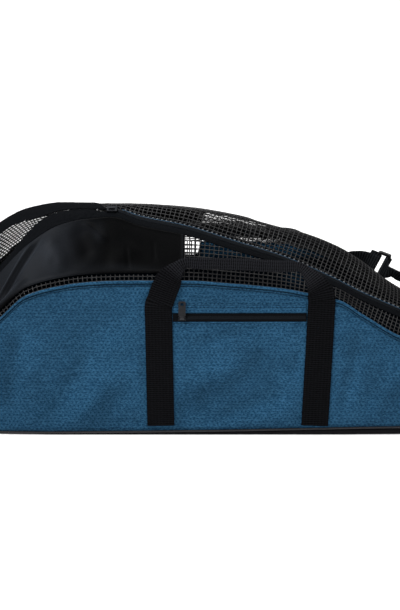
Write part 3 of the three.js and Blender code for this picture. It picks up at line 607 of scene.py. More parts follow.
def blue_cloth():
    """Heather: staggered rows of small dark dashes in a blue ground, with soft brighter streaks as painted
    light of wrinkles, shaded by the tone of the mesh, which carries painted light and shade.
    """
    m = Nodes("blue_heather", rough=0.9, specular=0.05)
    plain = m.mapped()
    rows = m.math("SUBTRACT", m.wave(plain, 9.8, "Z", 0.3), 0.5)
    steps = m.math("SUBTRACT", m.wave(plain, 5.6, "X", 0.5), 0.5)
    stagger = m.math("MULTIPLY", m.math("MULTIPLY", rows, steps), 4.0, clamp=True)
    thin = m.math("POWER", m.math("SUBTRACT", 1.0, m.wave(plain, 4.9, "Z", 0.3)), 2.0)
    dots = m.math("MULTIPLY", stagger, thin)
    dash = m.noise((330, 330, 900), 2.0, 0.6)
    # Soft brighter streaks: painted light standing in for wrinkles.
    streak_light = m.noise((90, 90, 520), 3.0, 0.7, move=(3.1, 0, 0.7))
    soft = m.noise(14, 3.0, 0.55)
    value = m.math("SUBTRACT", dash, m.math("MULTIPLY", dots, 0.3))
    value = m.math("ADD", value, m.math("MULTIPLY", m.math("SUBTRACT", streak_light, 0.5), 0.45))
    value = m.math("ADD", value, 0.03)
    deep = (0.0055, 0.027, 0.058)
    ground = (0.0125, 0.05, 0.098)
    pale = (0.024, 0.082, 0.15)
    cloth = m.ramp(value, [(0.34, deep), (0.5, ground), (0.68, pale)])
    shade = m.ramp(soft, [(0.3, (0.88, 0.88, 0.88)), (0.7, (1.1, 1.1, 1.1))])
    m.color(m.times(m.times(cloth, shade), m.tone()))
    m.bump(value, 0.6, 0.0006)
    return m.material


def scaled(color, share):
    return tuple(share * c for c in color)


def grained(m, grain, color, dark=0.6, light=1.5):
    """Colours a material by its grain, between a darker and a lighter share of one colour."""
    m.color(m.ramp(grain, [(0.3, scaled(color, dark)), (0.7, scaled(color, light))]))


def black_cloth(name, color, rough=0.85, specular=0.04):
    m = Nodes(name, rough=rough, specular=specular)
    grain = m.noise(900, 2.0, 0.6)
    grained(m, grain, color)
    plain = m.mapped()
    weave = m.math("ADD", m.wave(plain, 1.6, "X"), m.wave(plain, 1.6, "Z"))
    m.bump(m.math("ADD", m.math("MULTIPLY", weave, 0.4), grain), 0.5, 0.0005)
    return m.material


def webbing_cloth(name, color, ribs=3.0, contrast=2.6):
    """Webbing: u runs along the strap and v across it, in metres; ribs is their period in millimetres."""
    m = Nodes(name, rough=0.8, specular=0.02)
    uv = m.mapped(source="UV")
    across = m.wave(uv, ribs, "X", 0.5)
    lines = m.wave(uv, 4.6, "Y")
    height = m.math("ADD", across, m.math("MULTIPLY", lines, 0.3))
    grain = m.noise(1100, 2.0, 0.7)
    stops = [(0.3, scaled(color, 1 / contrast)), (0.8, scaled(color, contrast))]
    cloth = m.ramp(m.math("MULTIPLY", m.math("ADD", height, grain), 0.55), stops)
    m.color(m.times(cloth, m.tone()))
    m.bump(m.math("ADD", height, m.math("MULTIPLY", grain, 0.4)), 0.8, 0.0008)
    return m.material


def tarpaulin():
    """Satin coated cloth; the tone of the mesh carries its soft light zones."""
    m = Nodes("tarpaulin", rough=0.45, specular=0.03)
    fine = m.noise(600, 3.0, 0.6)
    ground = m.ramp(fine, [(0.3, (0.0105, 0.012, 0.015)), (0.7, (0.0135, 0.0155, 0.019))])
    m.color(m.times(ground, m.tone()))
    m.rough(m.ramp(fine, [(0.3, (0.4, 0.4, 0.4)), (0.7, (0.52, 0.52, 0.52))]))
    m.bump(fine, 0.2, 0.0003)
    return m.material


def net_material():
    m = Nodes("coated_net", rough=0.3, color=(0.006, 0.006, 0.007), specular=0.3)
    fine = m.noise(1400, 2.0, 0.6)
    m.color(m.ramp(fine, [(0.3, (0.002, 0.002, 0.0025)), (0.7, (0.01, 0.01, 0.0115))]))
    m.bump(fine, 0.4, 0.0004)
    return m.material


def zip_material(name, color, rough=0.7):
    m = Nodes(name, rough=rough, specular=0.02)
    grain = m.noise(1300, 3.0, 0.7)
    grained(m, grain, color)
    m.bump(grain, 0.6, 0.0005)
    return m.material


def metal(name, color, rough):
    m = Nodes(name, rough=rough, color=color, metal=1.0)
    fine = m.noise((400, 400, 1800), 3.0, 0.6)
    m.rough(m.ramp(fine, [(0.3, (rough - 0.08,) * 3), (0.7, (rough + 0.12,) * 3)]))
    m.bump(fine, 0.15, 0.0002)
    return m.material


def plastic(name, color, rough):
    m = Nodes(name, rough=rough, color=color, specular=0.5)
    fine = m.noise(1100, 2.0, 0.6)
    grained(m, fine, color, 0.8, 1.25)
    m.bump(fine, 0.25, 0.0002)
    return m.material


BLUE = blue_cloth()
BASE = black_cloth("base_cloth", (0.0055, 0.0055, 0.0065))
BIND = black_cloth("binding", (0.018, 0.018, 0.021), 0.55, specular=0.2)
TARP = tarpaulin()
NET = net_material()
TAPE = zip_material("zip_tape", (0.003, 0.0035, 0.0044))
COIL = zip_material("zip_coil", (0.0055, 0.0065, 0.008), 0.5)
WEB = webbing_cloth("webbing", (0.0013, 0.00135, 0.0016), contrast=4.5)
STRAP = webbing_cloth("strap_webbing", (0.011, 0.0122, 0.014), 3.6)
STEEL = metal("zip_metal", (0.045, 0.046, 0.05), 0.34)
DARK_STEEL = metal("dark_zip_metal", (0.014, 0.015, 0.017), 0.45)
PLASTIC = plastic("buckle_plastic", (0.008, 0.008, 0.009), 0.35)
THREAD = zip_material("stitching", (0.03, 0.07, 0.12), 0.8)
# Pale dots over the closed zipper: painted highlights of the net strands' ends.
STRAND_GLINTS = zip_material("painted_strand_glints", (0.16, 0.17, 0.18), 0.7)


def piece(obj, slot, *nodes, body="bag"):
    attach(obj, body)
    if nodes:
        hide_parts(*nodes)
    return obj


# Side panels.
RIM = 4.2
GROOVES = (5.0, 7.9)
# Soft folds of the near panel: x and z of both ends, width and depth.
WRINKLES = [
    (-185, 15, -105, 95, 17, 2.8),
    (-210, 30, -150, 120, 16, -1.8),
    (-55, 50, -115, 150, 20, 1.5),
    (-25, 60, 75, 118, 19, 2.4),
    (-15, 130, 70, 150, 9, -1.2),
    (30, 25, 125, 60, 14, -1.9),
    (60, 140, 130, 105, 12, 1.3),
    (203, 30, 222, 140, 12, -2.0),
    (235, 20, 300, 110, 17, 2.2),
    (-268, 40, -250, 150, 14, -2.0),
    (-420, 30, -330, 85, 18, 1.3),
    (380, 30, 450, 80, 16, -1.2),
    (-700, 20, -600, 60, 14, 1.0),
    (560, 25, 640, 65, 14, 1.0),
]
# The far panel has the same folds, turned round about this x.
FAR_TURN = 30


def held(x, z, side):
    """1 where a handle's leg or the pocket zipper holds the cloth flat."""
    flat = np.zeros_like(x)
    for top, foot, high in LEGS:
        middle = (foot + (top - foot) * np.clip(z / (high * HEIGHT), 0, 1)) * HALF
        flat = np.maximum(flat, 1 - smooth(20, 32, np.abs(x - middle)))
    if side < 0:
        wide = between(POCKET_LEFT - 20, POCKET_LEFT, POCKET_RIGHT, POCKET_RIGHT + 20, x)
        flat = np.maximum(flat, between(148, 157, 190, 200, z) * wide)
    return flat


def panel_relief(x, z, down, side):
    """How far the cloth stands off the plain skin; down is the distance below the blue edge."""
    calm = smooth(0, 14, down) * smooth(2, 14, z - seam_height(x)) * (1 - held(x, z, side))
    move = np.zeros_like(x)
    for x0, z0, x1, z1, wide, depth in WRINKLES:
        if side > 0:
            x0, x1 = 2 * FAR_TURN - x0, 2 * FAR_TURN - x1
        move += fold(x, z, x0, z0, x1, z1, wide, depth)
    move += 1.0 * noise(x + 300, z, 46, 3) + 0.45 * noise(x + 900, z + 40, 19, 4)
    move *= calm
    rim = np.where(down < RIM, 1.5 * np.sqrt(np.maximum(0, 1 - ((down - RIM / 2) / (RIM / 2)) ** 2)), 0)
    groove = sum(-0.9 * hump(down, place, 0.8) for place in GROOVES)
    pucker = 0.45 * noise(x, 0 * x + 7, 5.5, 5) * hump(down, GROOVES[1] + 3, 6)
    return move + rim + groove + pucker


def panel_tone(x, z, down):
    """Painted shade in the stitched grooves under the rim, a painted highlight on the rim, painted shade
    along the low edge by the seam and towards the left end, and calm broad shades.
    """
    # Calm broad shades, and painted shade towards the left end.
    tone = 0.98 + 0.08 * noise(x, z, 60, 31) - 0.12 * (1 - smooth(-285, -190, x))
    # Painted highlight on the raised rim; painted shade in the stitched grooves below it.
    tone = tone + 0.1 * (1 - smooth(1.5, 4.2, down))
    for place, deep in zip(GROOVES, (0.88, 0.6)):
        tone = tone - deep * hump(down, place, 0.95)
    dots = 0.5 + 0.5 * np.sin(2 * np.pi * x / 5.0)
    tone = tone + 0.18 * dots * hump(down, sum(GROOVES) / 2, 0.7)
    # Painted shade along the low edge, by the seam and the piping.
    return tone - 0.25 * (1 - smooth(1, 6, z - seam_height(x)))


def slope_tone(relief, x, down):
    """Light on the soft wrinkles: a little more where they face up or left."""
    rising = np.gradient(relief, axis=1) / np.maximum(np.gradient(down, axis=1), 0.3)
    leftward = np.gradient(relief, axis=0) / np.gradient(x, axis=0)
    return smooth(14, 26, down) * np.clip(1.1 * rising + 0.9 * leftward, -0.17, 0.17)


def edge_dip(x, side):
    """How far the far panel's edge sags, where the window beside the tarpaulin shows it."""
    return 21 * between(-30, -21, -5, 2, x) * (side > 0)


def panel_grid(side):
    seen = np.arange(-SEEN, SEEN + 0.1, 2.5)
    coarse = 6.0
    left = np.arange(-HALF + 4, -SEEN, coarse)
    right = np.arange(SEEN + coarse, HALF - 3, coarse)
    ends = ZIP_END + END_ROUND * np.sin(np.linspace(0.75, 1, 6) * math.pi / 2)
    x = np.unique(np.round(np.concatenate([-ends, left, seen, right, ends]), 3))
    if side > 0:
        even = np.arange(-HALF + 4, HALF - 3, coarse)
        by_window = np.arange(-34, 10, 2.0)
        x = np.unique(np.round(np.concatenate([-ends, even, by_window, ends]), 3))
    rim = [0, 0.4, 1.0, 1.8, 2.7, 3.5, 4.0, 4.3, 4.65]
    stitched = [5.0, 5.4, 5.9, 6.5, 7.1, 7.5, 7.9, 8.3, 8.9]
    return x, np.array(rim + stitched + [10.2, 12.5, 15, 18.5], float)


def side_panel(name, side, node):
    x, tops = panel_grid(side)
    high = wall_point(x, side, 1.0)[:, 2]
    low = wall_point(x, side, 0.0)[:, 2]
    tall = high - low
    rows = 34 if side < 0 else 20
    lower = np.linspace(0, 1, rows)
    downs = []
    for value in tops:
        downs.append(np.minimum(value, 0.3 * tall * value / tops[-1] * 4))
    first = downs[-1]
    for k in lower[1:]:
        downs.append(first + (tall - first) * k)
    down = np.stack(downs, 1)
    xx = np.repeat(x[:, None], down.shape[1], 1)
    dip = edge_dip(x, side)[:, None]
    t = 1 - (dip + down * (1 - dip / tall[:, None])) / tall[:, None]
    base = wall_point(xx, side, t)
    normal = wall_normal(xx, side, np.clip(t, 0, 1))
    fade = smooth(0, 30, HALF - np.abs(xx))
    relief = panel_relief(xx, base[..., 2], down, side) * fade
    points, quads = raised(base, normal, relief, relief - np.where(down < RIM, 2.2, 1.5))
    zz = base[..., 2]
    tone = panel_tone(xx, zz, down) + slope_tone(relief, xx, down)
    shadow = 0.12 + 1.9 * smooth(198, 210, zz) * (side > 0) * smooth(-2, 8, xx)
    shadow = shadow + hump(xx, 145, 16) * hump(zz, 170, 8)
    obj = mesh_object(name, points, quads, material=BLUE, tone=np.concatenate([tone.ravel(), shadow.ravel()]))
    return piece(outward(obj), "blue_cloth", node)


side_panel("front_cloth", -1, "front_panel")
side_panel("back_cloth", 1, "back_panel")


# The net: strands along the bag and across it, on the deck.
def runs(good):
    """The stretches of indices where good holds."""
    ends = np.where(np.diff(good.astype(int)) != 0)[0] + 1
    return [run for run in np.split(np.arange(len(good)), ends) if good[run[0]]]


def net_sheet(name, start, end, x0, x1, node, keep=None, thick=None, more=None):
    """Net from the curve start to the curve end: keep says where, thick how thick, and more adds strands."""
    batch = Batch()
    thick = thick or (lambda x, s: STRAND + 0 * x)
    deep = MESH_THICK / 2
    xs = np.arange(x0, x1 + 0.01, NET_PITCH / 2)
    lo = start(xs)
    hi = end(xs)
    widest = float(np.max(hi - lo))
    rows = int(widest / NET_PITCH) + 1

    def path(x, s):
        return deck.point(x, s) - deck.normal(x, s) * deep

    for k in range(rows + 1):
        s = lo + k * NET_PITCH
        good = (s >= lo - 0.01) & (s <= hi + 0.01)
        if keep is not None:
            good &= keep(xs, s)
        for run in runs(good):
            pick = run[(run % 2 == 0) | (np.abs(xs[run]) < SEEN)]
            if len(pick) >= 3:
                batch.add_tube(path(xs[pick], s[pick]), thick(xs[pick], s[pick]), 4)
    # The across strands leave the edge square and stay square to the long ones.
    run = run_along(deck.point(xs, lo))
    at = np.interp(np.arange(0, run[-1], NET_PITCH), run, xs)
    step = NET_PITCH / 2
    tracks = [at]
    for k in range(int(widest / step) + 2):
        v = k * step
        ahead = deck.point(at + 1, start(at + 1) + v) - deck.point(at - 1, start(at - 1) + v)
        up = deck.point(at, start(at) + v + 0.5) - deck.point(at, start(at) + v - 0.5)
        slip = -2 * np.sum(up * ahead, -1) / np.maximum(np.sum(ahead * ahead, -1), 1e-6)
        at = np.clip(at + np.clip(slip, -1.2, 1.2) * step, x0, x1)
        tracks.append(at)
    tracks = np.stack(tracks, 1)
    depth = np.arange(tracks.shape[1]) * step
    for track in tracks:
        s = start(track) + depth
        top = end(track)
        good = s <= top + 0.01
        if keep is not None:
            good &= keep(track, s)
        for part in runs(good):
            if len(part) < 2:
                continue
            line = path(track[part], s[part])
            wide = thick(track[part], s[part])
            last = part[-1]
            if last + 1 < len(s) and s[last + 1] > top[last + 1]:
                line = np.vstack([line, path(track[last : last + 1], top[last : last + 1])])
                wide = np.append(wide, wide[-1])
            batch.add_tube(line, wide, 4)
    if more is not None:
        more(batch)
    obj = batch.make(name, NET)
    return piece(obj, "net", node)


def strip_only(x, s):
    under_tarp = (x > TARP_END - 1) & (x < NET_START - 1)
    return ~under_tarp | (s < STRIP)


END = HALF - 12


def mouth_open(x):
    """1 where the zipper is open and 0 where it is closed."""
    return between(-630, -560, -150, -128, x)


def band_top(x):
    """Where the back net begins: over the closed zipper's tape, and above the far lip's band in the mouth."""
    closed = deck.back_lip(x) + CHAIN_HALF + 2 * GAP
    opened = np.maximum(deck.ridge(x) - 0.5, back_start(x))
    return closed + (opened - closed) * mouth_open(x)


def bunched(x, s):
    """Strand size of the back net: stretched thick by the mouth and bunched up behind the ridge."""
    mouth = 0.32 * between(-420, -330, -200, -170, x)
    past = s - deck.ridge(x)
    behind = between(2, 10, 78, 95, past)
    place = between(-150, -120, -12, 10, x) + between(-12, 10, 66, 84, x) * (1 - smooth(26, 36, past))
    drawn = between(0, 12, 118, 135, x) * (past < 60) * (past > 34)
    return STRAND + mouth + 1.25 * behind * place - 0.32 * behind * drawn


def dip_net(batch):
    """The net goes on down to the sagging edge of the far panel."""
    xs = np.arange(-32, 6, 3.2)
    high = wall_point(xs, 1, 1.0)[:, 2]
    low = wall_point(xs, 1, 0.0)[:, 2]
    for k, x in enumerate(xs):
        deep = float(edge_dip(x, 1))
        if k % 2 or deep < 2:
            continue
        t = 1 - np.linspace(0, deep, 5) / (high[k] - low[k])
        batch.add_tube(wall_point(x + 0 * t, 1, t) - vec(0, 1, 0), STRAND, 4)
    for row in range(1, 4):
        good = edge_dip(xs, 1) > row * NET_PITCH - 2
        t = 1 - row * NET_PITCH / (high[good] - low[good])
        batch.add_tube(wall_point(xs[good], 1, t) - vec(0, 1, 0), STRAND, 4)


net_sheet("front_net", lambda x: 0 * x + GAP, front_top, -END, END, "front_mesh", strip_only)
net_sheet(
    "back_net", band_top, lambda x: deck.total(x) - GAP, -END, END, "back_mesh", thick=bunched, more=dip_net
)


# Strips that lie on the deck.
def grid(xs, across):
    """Each x repeated over the rows, and the rows' shares from 0 to 1."""
    xx = np.repeat(xs[:, None], across, 1)
    return xx, np.linspace(0, 1, across)[None, :] + 0 * xx


def deck_sheet(name, xs, lows, highs, across, thick, material, relief, lift=0.0, tone=None):
    xx, share = grid(xs, across)
    s = lows[:, None] + (highs - lows)[:, None] * share
    up = lift + relief(xx, s, share)
    points, quads = raised(deck.point(xx, s), deck.normal(xx, s), up, up - thick)
    uv = np.stack([xx * MM, s * MM], -1).reshape(-1, 2)
    if tone is not None:
        tone = np.tile(tone(xx, share, up).ravel(), 2)
    return mesh_object(name, points, quads, uv=np.vstack([uv, uv]), material=material, tone=tone)


# Folds of the tarpaulin, as the wrinkles; their heights are shares of its own height, times TARP_TALL.
TARP_TALL = 80
TARP_FOLDS = [
    (-234, 78, -286, 22, 4.5, 3.2),
    (-222, 74, -274, 14, 4.0, -2.4),
    (-296, 8, -244, 16, 5.5, 3.5),
    (-214, 66, -190, 10, 13, 3.5),
    (-172, 70, -156, 20, 12, -3.0),
    (-164, 78, -132, 46, 5.0, 2.0),
    (-103, 40, -99, 6, 2.4, -0.8),
    (-90, 44, -124, 8, 12, 1.4),
    (-66, 56, -63, 20, 2.4, -0.7),
    (-390, 20, -330, 64, 7.0, 2.4),
    (-350, 14, -310, 50, 6.0, -2.4),
]
# Its painted light and shade, lit zones and a shaded hollow: middle x, height as a share, reach both ways and
# change of tone.
TARP_ZONES = [
    (-201, 0.55, 17, 0.3, 0.6),
    (-240, 0.7, 22, 0.5, 0.3),
    (-262, 0.17, 22, 0.08, 0.5),
    (-276, 0.02, 26, 0.08, -0.9),
    (-206, 0.36, 5, 0.13, -0.4),
    (-163, 0.5, 13, 0.3, -0.2),
    (-141, 0.74, 8, 0.16, 0.28),
    (-110, 0.1, 50, 0.07, 0.22),
]


def tarp_tone(x, share, up):
    """Painted light and shade of the satin cloth: lighter to the left, lit zones and a shaded hollow, folds
    lit from the left, and a painted highlight along its right edge.
    """
    # Painted light: lighter to the left, where the light falls, and darker to the right.
    tone = 0.74 - 0.68 * smooth(-215, -125, x)
    for at, high, wide, tall, change in TARP_ZONES:
        tone = tone + change * hump(x, at, wide) * hump(share, high, tall)
    slope = np.gradient(up, axis=0) / TARP_STEP
    tone = tone * np.clip(1 + 1.6 * slope, 0.35, 1.9)
    # Painted highlight along the raised right edge.
    tone = tone + 0.5 * hump(x, NET_START - 2.5, 1.2) * smooth(0.1, 0.3, share)
    return np.clip(tone, 0.05, 3)


def tarp_relief(x, s, share):
    calm = np.minimum(smooth(0, 0.1, share), smooth(0, 0.08, 1 - share))
    calm = calm * between(TARP_END, TARP_END + 12, NET_START - 9, NET_START, x)
    move = sum(fold(x, TARP_TALL * share, *row) for row in TARP_FOLDS)
    slack = 1 - smooth(-190, -120, x)
    move += (0.3 + 0.6 * slack) * noise(x + 50, s, 34, 8) + (0.06 + 0.1 * slack) * noise(x, s, 14, 9)
    hem = 0.8 * hump(s, STRIP + 3.0, 1.8) + 0.6 * hump(TARP_TALL * share, TARP_TALL, 3.0)
    return move * calm + hem + 0.8 * hump(x, NET_START - GAP - 3.0, 1.6)


def tarp():
    xs = np.arange(TARP_END + GAP, NET_START - GAP + 0.01, TARP_STEP)
    lows = np.full(len(xs), STRIP + GAP)
    obj = deck_sheet("tarp_cloth", xs, lows, front_top(xs), 48, 1.2, TARP, tarp_relief, tone=tarp_tone)
    tall = float(np.max(front_top(xs) - lows))
    cut = float(np.sum(front_top(xs) - lows) * TARP_STEP)
    return piece(outward(obj), "tarpaulin", "tarp_panel")


tarp()


def lips_slack(x):
    """How far the slack lips of the mouth have fallen together: 0 where it gapes, 1 by the slider."""
    return between(-268, -212, -150, -128, x)


def tape(which):
    xs = np.arange(-ZIP_END, ZIP_END + 0.01, 2.5)
    open_ = mouth_open(xs)
    slack = lips_slack(xs) * (deck.back_lip(xs) - deck.lip(xs))
    if which == "front":
        lows = deck.lip(xs) - CHAIN_HALF - GAP - TAPE_WIDTH
        highs = deck.lip(xs) - (CHAIN_HALF + GAP) * (1 - open_) + 0.5 * slack
    else:
        lows = deck.back_lip(xs) + (CHAIN_HALF + GAP) * (1 - 0.8 * open_) - 0.42 * slack
        closed = deck.back_lip(xs) + CHAIN_HALF + GAP + TAPE_WIDTH
        highs = closed + (np.maximum(deck.ridge(xs) + 1.0, closed) - closed) * open_

    def relief(x, s, share):
        lip = mouth_open(x)
        dome = 0.5 * np.sin(np.pi * share)
        fuzz = (0.35 + 0.5 * lip) * noise(x, s, 3.6, 12)
        if which == "front":
            return dome + fuzz
        drop = -2.1 * (1 - lip)
        piping = 1.1 * lip * hump(share, 0.93, 0.06)
        return dome + drop + piping + fuzz * (1 - 0.8 * lip * smooth(0.2, 0.45, share))

    obj = deck_sheet("zip_tape_" + which, xs, lows, highs, 15, 1.3, TAPE, relief)
    return piece(outward(obj), "zip_tape", "main_zip_tape_" + which)


tape("front")
tape("back")


def chain():
    xs = np.arange(SLIDER_AT + 8, ZIP_END + 0.01, 1.1)

    def relief(x, s, share):
        teeth = 0.35 * np.sin(2 * np.pi * x / 2.6 + np.where(share > 0.5, np.pi, 0))
        return 0.6 * np.sin(np.pi * share) + teeth * np.sin(np.pi * share) ** 2

    lip = deck.lip(xs)
    obj = deck_sheet("zip_chain", xs, lip - CHAIN_HALF, lip + CHAIN_HALF, 9, 2.0, COIL, relief, 0.3)
    return piece(outward(obj), "zip_coil", "main_zip_chain")


chain()


def zip_stitches():
    """A blue thread along the closed zipper and a row of pale dots over it, painted highlights of the net
    strands' ends.
    """
    xs = np.arange(SLIDER_AT + 14, ZIP_END - 2, 2.0)
    thread = Batch()
    s = deck.lip(xs) + CHAIN_HALF + 1.0
    thread.add_tube(deck.point(xs, s) + deck.normal(xs, s) * 0.6, 0.4, 5)
    piece(thread.make("zip_thread", THREAD), "zip_tape", body="bag")
    dots = Batch()
    for x in np.arange(SLIDER_AT + 18, 420, 6.4):
        two = vec(x, x + 2.2)
        s = deck.lip(two) + CHAIN_HALF + vec(2.0, 3.2)
        dots.add_tube(deck.point(two, s) + deck.normal(two, s) * 0.5, 0.8, 5)
    piece(dots.make("zip_dots", STRAND_GLINTS), "zip_tape", body="bag")


zip_stitches()


# The base slab with upturned brim, and its binding.
def outline(inset):
    """The floor's outline as a closed ring, moved in by inset."""
    end = ZIP_END + END_ROUND * np.sin(np.linspace(0, 0.96, 12)[1:] * math.pi / 2)
    x = np.concatenate([-end[::-1], np.arange(-ZIP_END, ZIP_END + 0.1, 8.0), end])
    n = wall_normal(x, -1, 0.0)
    n[:, 2] = 0
    n = unit(n)
    near = np.stack([x, -half_width(x), 0 * x], -1) - n * inset
    far = near[::-1] * vec(1, -1, 1)
    tip = vec(HALF - inset, 0, 0)[None]
    tail_tip = vec(inset - HALF, 0, 0)[None]
    return np.concatenate([near, tip, far, tail_tip])


def base_pad():
    """Rings from under the floor over the brim: each has an inset, a height and a share of the brim."""
    rings = []
    inner = PANEL_THICK + GAP + SIDE_INSET
    profile = [
        (SIDE_INSET + 4.0, 0, 0),
        (SIDE_INSET + 1.6, 0, 0),
        (SIDE_INSET + 0.5, 0.35, 0),
        (SIDE_INSET, 1.0, 0),
        (SIDE_INSET, 0, 1),
        (inner - 0.6, 0.05, 1),
        (inner, 7.5, 0),
        (inner + 2.5, 9.2, 0),
        (inner + 6, 9.5, 0),
    ]
    for inset, high, share in profile:
        ring = outline(inset)
        brim = np.maximum(seam_height(ring[:, 0]) - PIPING - GAP, 1.1)
        ring[:, 2] = high + share * brim
        rings.append(ring)
    count = len(rings[0])
    points = np.concatenate(rings)
    quads = [grid_quads(len(rings), count, wrap=True)[:, [0, 3, 2, 1]]]
    half = (count - 2) // 2

    def cap(offset):
        k = np.arange(half - 1)
        other = 2 * half - k
        strip = np.stack([offset + k, offset + other, offset + other - 1, offset + k + 1], -1)
        ends = [
            (offset + half - 1, offset + half + 1, offset + half),
            (offset + count - 1, offset + 2 * half, offset),
        ]
        return strip, ends

    low_strip, low_ends = cap(0)
    top_strip, top_ends = cap((len(rings) - 1) * count)
    quads += [low_strip, top_strip]
    obj = mesh_object("base_pad", points, np.concatenate(quads), low_ends + top_ends, material=BASE)
    outward(obj)
    return piece(obj, "base_cloth", "base_panel")


base_pad()


def binding():
    path = outline(0)
    path[:, 2] = seam_height(path[:, 0])
    points, quads = tube(path, PIPING, 10, closed=True)
    obj = mesh_object("binding_tube", points, quads, material=BIND)
    return piece(outward(obj), "binding", "base_piping")


binding()


# Straps and handles.
def curve_points(points, step):
    """Even points on a smooth curve through the given rows; extra columns are carried along."""
    rows = np.asarray(points, float)
    ends = np.vstack([2 * rows[0] - rows[1], rows, 2 * rows[-1] - rows[-2]])
    made = []
    for i in range(1, len(ends) - 2):
        p0, p1, p2, p3 = ends[i - 1 : i + 3]
        for w in np.linspace(0, 1, 12, endpoint=False):
            m1 = (p2 - p0) / 2
            m2 = (p3 - p1) / 2
            w2 = w * w
            w3 = w2 * w
            start = (2 * w3 - 3 * w2 + 1) * p1 + (w3 - 2 * w2 + w) * m1
            made.append(start + (3 * w2 - 2 * w3) * p2 + (w3 - w2) * m2)
    made.append(ends[-2])
    made = np.array(made)
    run = run_along(made[:, :3])
    even = np.linspace(0, run[-1], max(2, int(run[-1] / step)))
    return np.stack([np.interp(even, run, made[:, k]) for k in range(made.shape[1])], 1)


def band(centre, across, face, width, thick, profile, count):
    """A flat band: rows of points across its face and back, with rounded edges. uv is in metres."""
    n = len(centre)
    v = np.linspace(-1, 1, count)
    run = run_along(centre)
    edge = np.sqrt(np.maximum(0, 1 - np.abs(v) ** 14))
    width = np.broadcast_to(width, (n,))
    thick = np.broadcast_to(thick, (n,))
    lift = profile(run[:, None], v[None, :] * width[:, None] / 2)
    flat = centre[:, None] + across[:, None] * (v[None, :, None] * width[:, None, None] / 2)
    up = (thick[:, None] / 2) * edge[None, :]
    outer = flat + face[:, None] * (up + lift)[..., None]
    inner = flat - face[:, None] * up[..., None]
    points, quads = shell(outer, inner)
    uv = np.stack([np.repeat(run[:, None], count, 1), v[None, :] * width[:, None] / 2], -1) * MM
    uv = uv.reshape(-1, 2)
    return points, quads, np.vstack([uv, uv])


def handle_rows(side):
    rows = []

    def leg(row, rising):
        x_top, x_foot, top = row
        made = []
        for k in np.linspace(0, 1, 9):
            z = (0.045 + (top - 0.045) * k) * HEIGHT
            x = (x_foot + (x_top - x_foot) * k) * HALF
            t = wall_share(np.array(x), side, z)
            p = wall_point(x, side, t) + wall_normal(np.array([x]), side, np.array([t]))[0] * (STANDOFF + 0.9)
            made.append([*p, WEBBING, WEBBING_THICK])
        return made if rising else made[::-1]

    rows += leg(LEGS[0], True)
    for x, y, z, width in HANDLE_TOP:
        out = y * HALF_WIDTH + (FAR_LOOP_OUT if side > 0 else 0)
        k = (width - 0.5) / 0.5
        thick = GRIP_THICK + (WEBBING_THICK - GRIP_THICK) * k
        rows.append([x * HALF, side * out, z * HEIGHT, GRIP + (WEBBING - GRIP) * k, thick])
    rows += leg(LEGS[1], False)
    return np.array(rows)


def ribs(run, v):
    """Cross ribs of heavy webbing, offset on both sides of its middle line."""
    wave = np.sin(2 * np.pi * run / 3.0 + np.where(np.abs(v) % 9 > 4.5, np.pi / 2, 0))
    return 0.24 * wave


def handle(name, side, node):
    rows = curve_points(handle_rows(side), 0.75)
    centre = rows[:, :3]
    along = unit(np.gradient(centre, axis=0))
    across = unit(np.cross(along, vec(0, 1, 0)))
    face = unit(np.cross(along, across))
    if face[len(face) // 2][1] * side < 0:
        face = -face
    points, quads, uv = band(centre, across, face, rows[:, 3], rows[:, 4], ribs, 21)
    # Painted light: the grip faces up and is drawn brighter than the legs of the handle.
    grip_light = 1.0 + 1.6 * (1 - smooth(GRIP + 1, WEBBING - 2, rows[:, 3]))
    grip_light = np.tile(np.repeat(grip_light, 21), 2)
    obj = mesh_object(name, points, quads, uv=uv, material=WEB, tone=grip_light)
    return piece(outward(obj), "webbing", node)


handle("near_handle", -1, "front_handle")
handle("far_handle", 1, "back_handle")


def deck_frame(x, share):
    s = deck.ridge(x) + share * (deck.total(x) - deck.ridge(x))
    face = deck.normal(np.array([x]), np.array([s]))[0]
    across = unit(deck.point(x, s + 4) - deck.point(x, s - 4))
    centre = deck.point(x, s) + face * (STANDOFF + 0.6 + WEBBING_THICK / 2)
    return [*centre, *across, 1, 0]


def free_frame(row):
    x, y, z, lean, width = row
    lean = math.radians(lean)
    return [x * HALF, y * HALF_WIDTH, z * HEIGHT, 0, math.sin(lean), -math.cos(lean), width, 0]


def buckle_axes():
    lean = math.radians(BUCKLE["lean"])
    drop = math.radians(BUCKLE["drop"])
    u = vec(math.cos(drop), 0, -math.sin(drop))
    flat = vec(0, math.sin(lean), -math.cos(lean))
    n = unit(-np.cross(flat, u))
    n = -n if n[2] < 0 else n
    v = unit(np.cross(n, u))
    v = -v if v[2] > 0 else v
    origin = vec(BUCKLE["x"] * HALF, BUCKLE["y"] * HALF_WIDTH, BUCKLE["z"] * HEIGHT)
    return u, v, n, origin


def buckle_frame(a, b, c=0, width=1):
    u, v, n, origin = buckle_axes()
    return [*(origin + u * a + n * b + v * c), *v, width, 1]


def strap_band(name, frames, node, material, profile):
    """A strap through its frames; on the buckle's bars it keeps the direction of the bar."""
    rows = curve_points(frames, 0.9)
    centre = rows[:, :3]
    along = unit(np.gradient(centre, axis=0))
    square = unit(rows[:, 3:6] - np.sum(rows[:, 3:6] * along, 1, keepdims=True) * along)
    on_bar = np.clip(rows[:, 7:8], 0, 1)
    across = unit(square * (1 - on_bar) + rows[:, 3:6] * on_bar)
    face = unit(np.cross(along, across))
    face = -face if face[0][2] < 0 else face
    points, quads, uv = band(centre, across, face, WEBBING * rows[:, 6], WEBBING_THICK, profile, 15)
    obj = mesh_object(name, points, quads, uv=uv, material=material, tone=np.ones(len(points)))
    return piece(outward(obj), "strap_webbing", node)


HIGH = BUCKLE["plate"] / 2 + 0.5 + WEBBING_THICK / 2


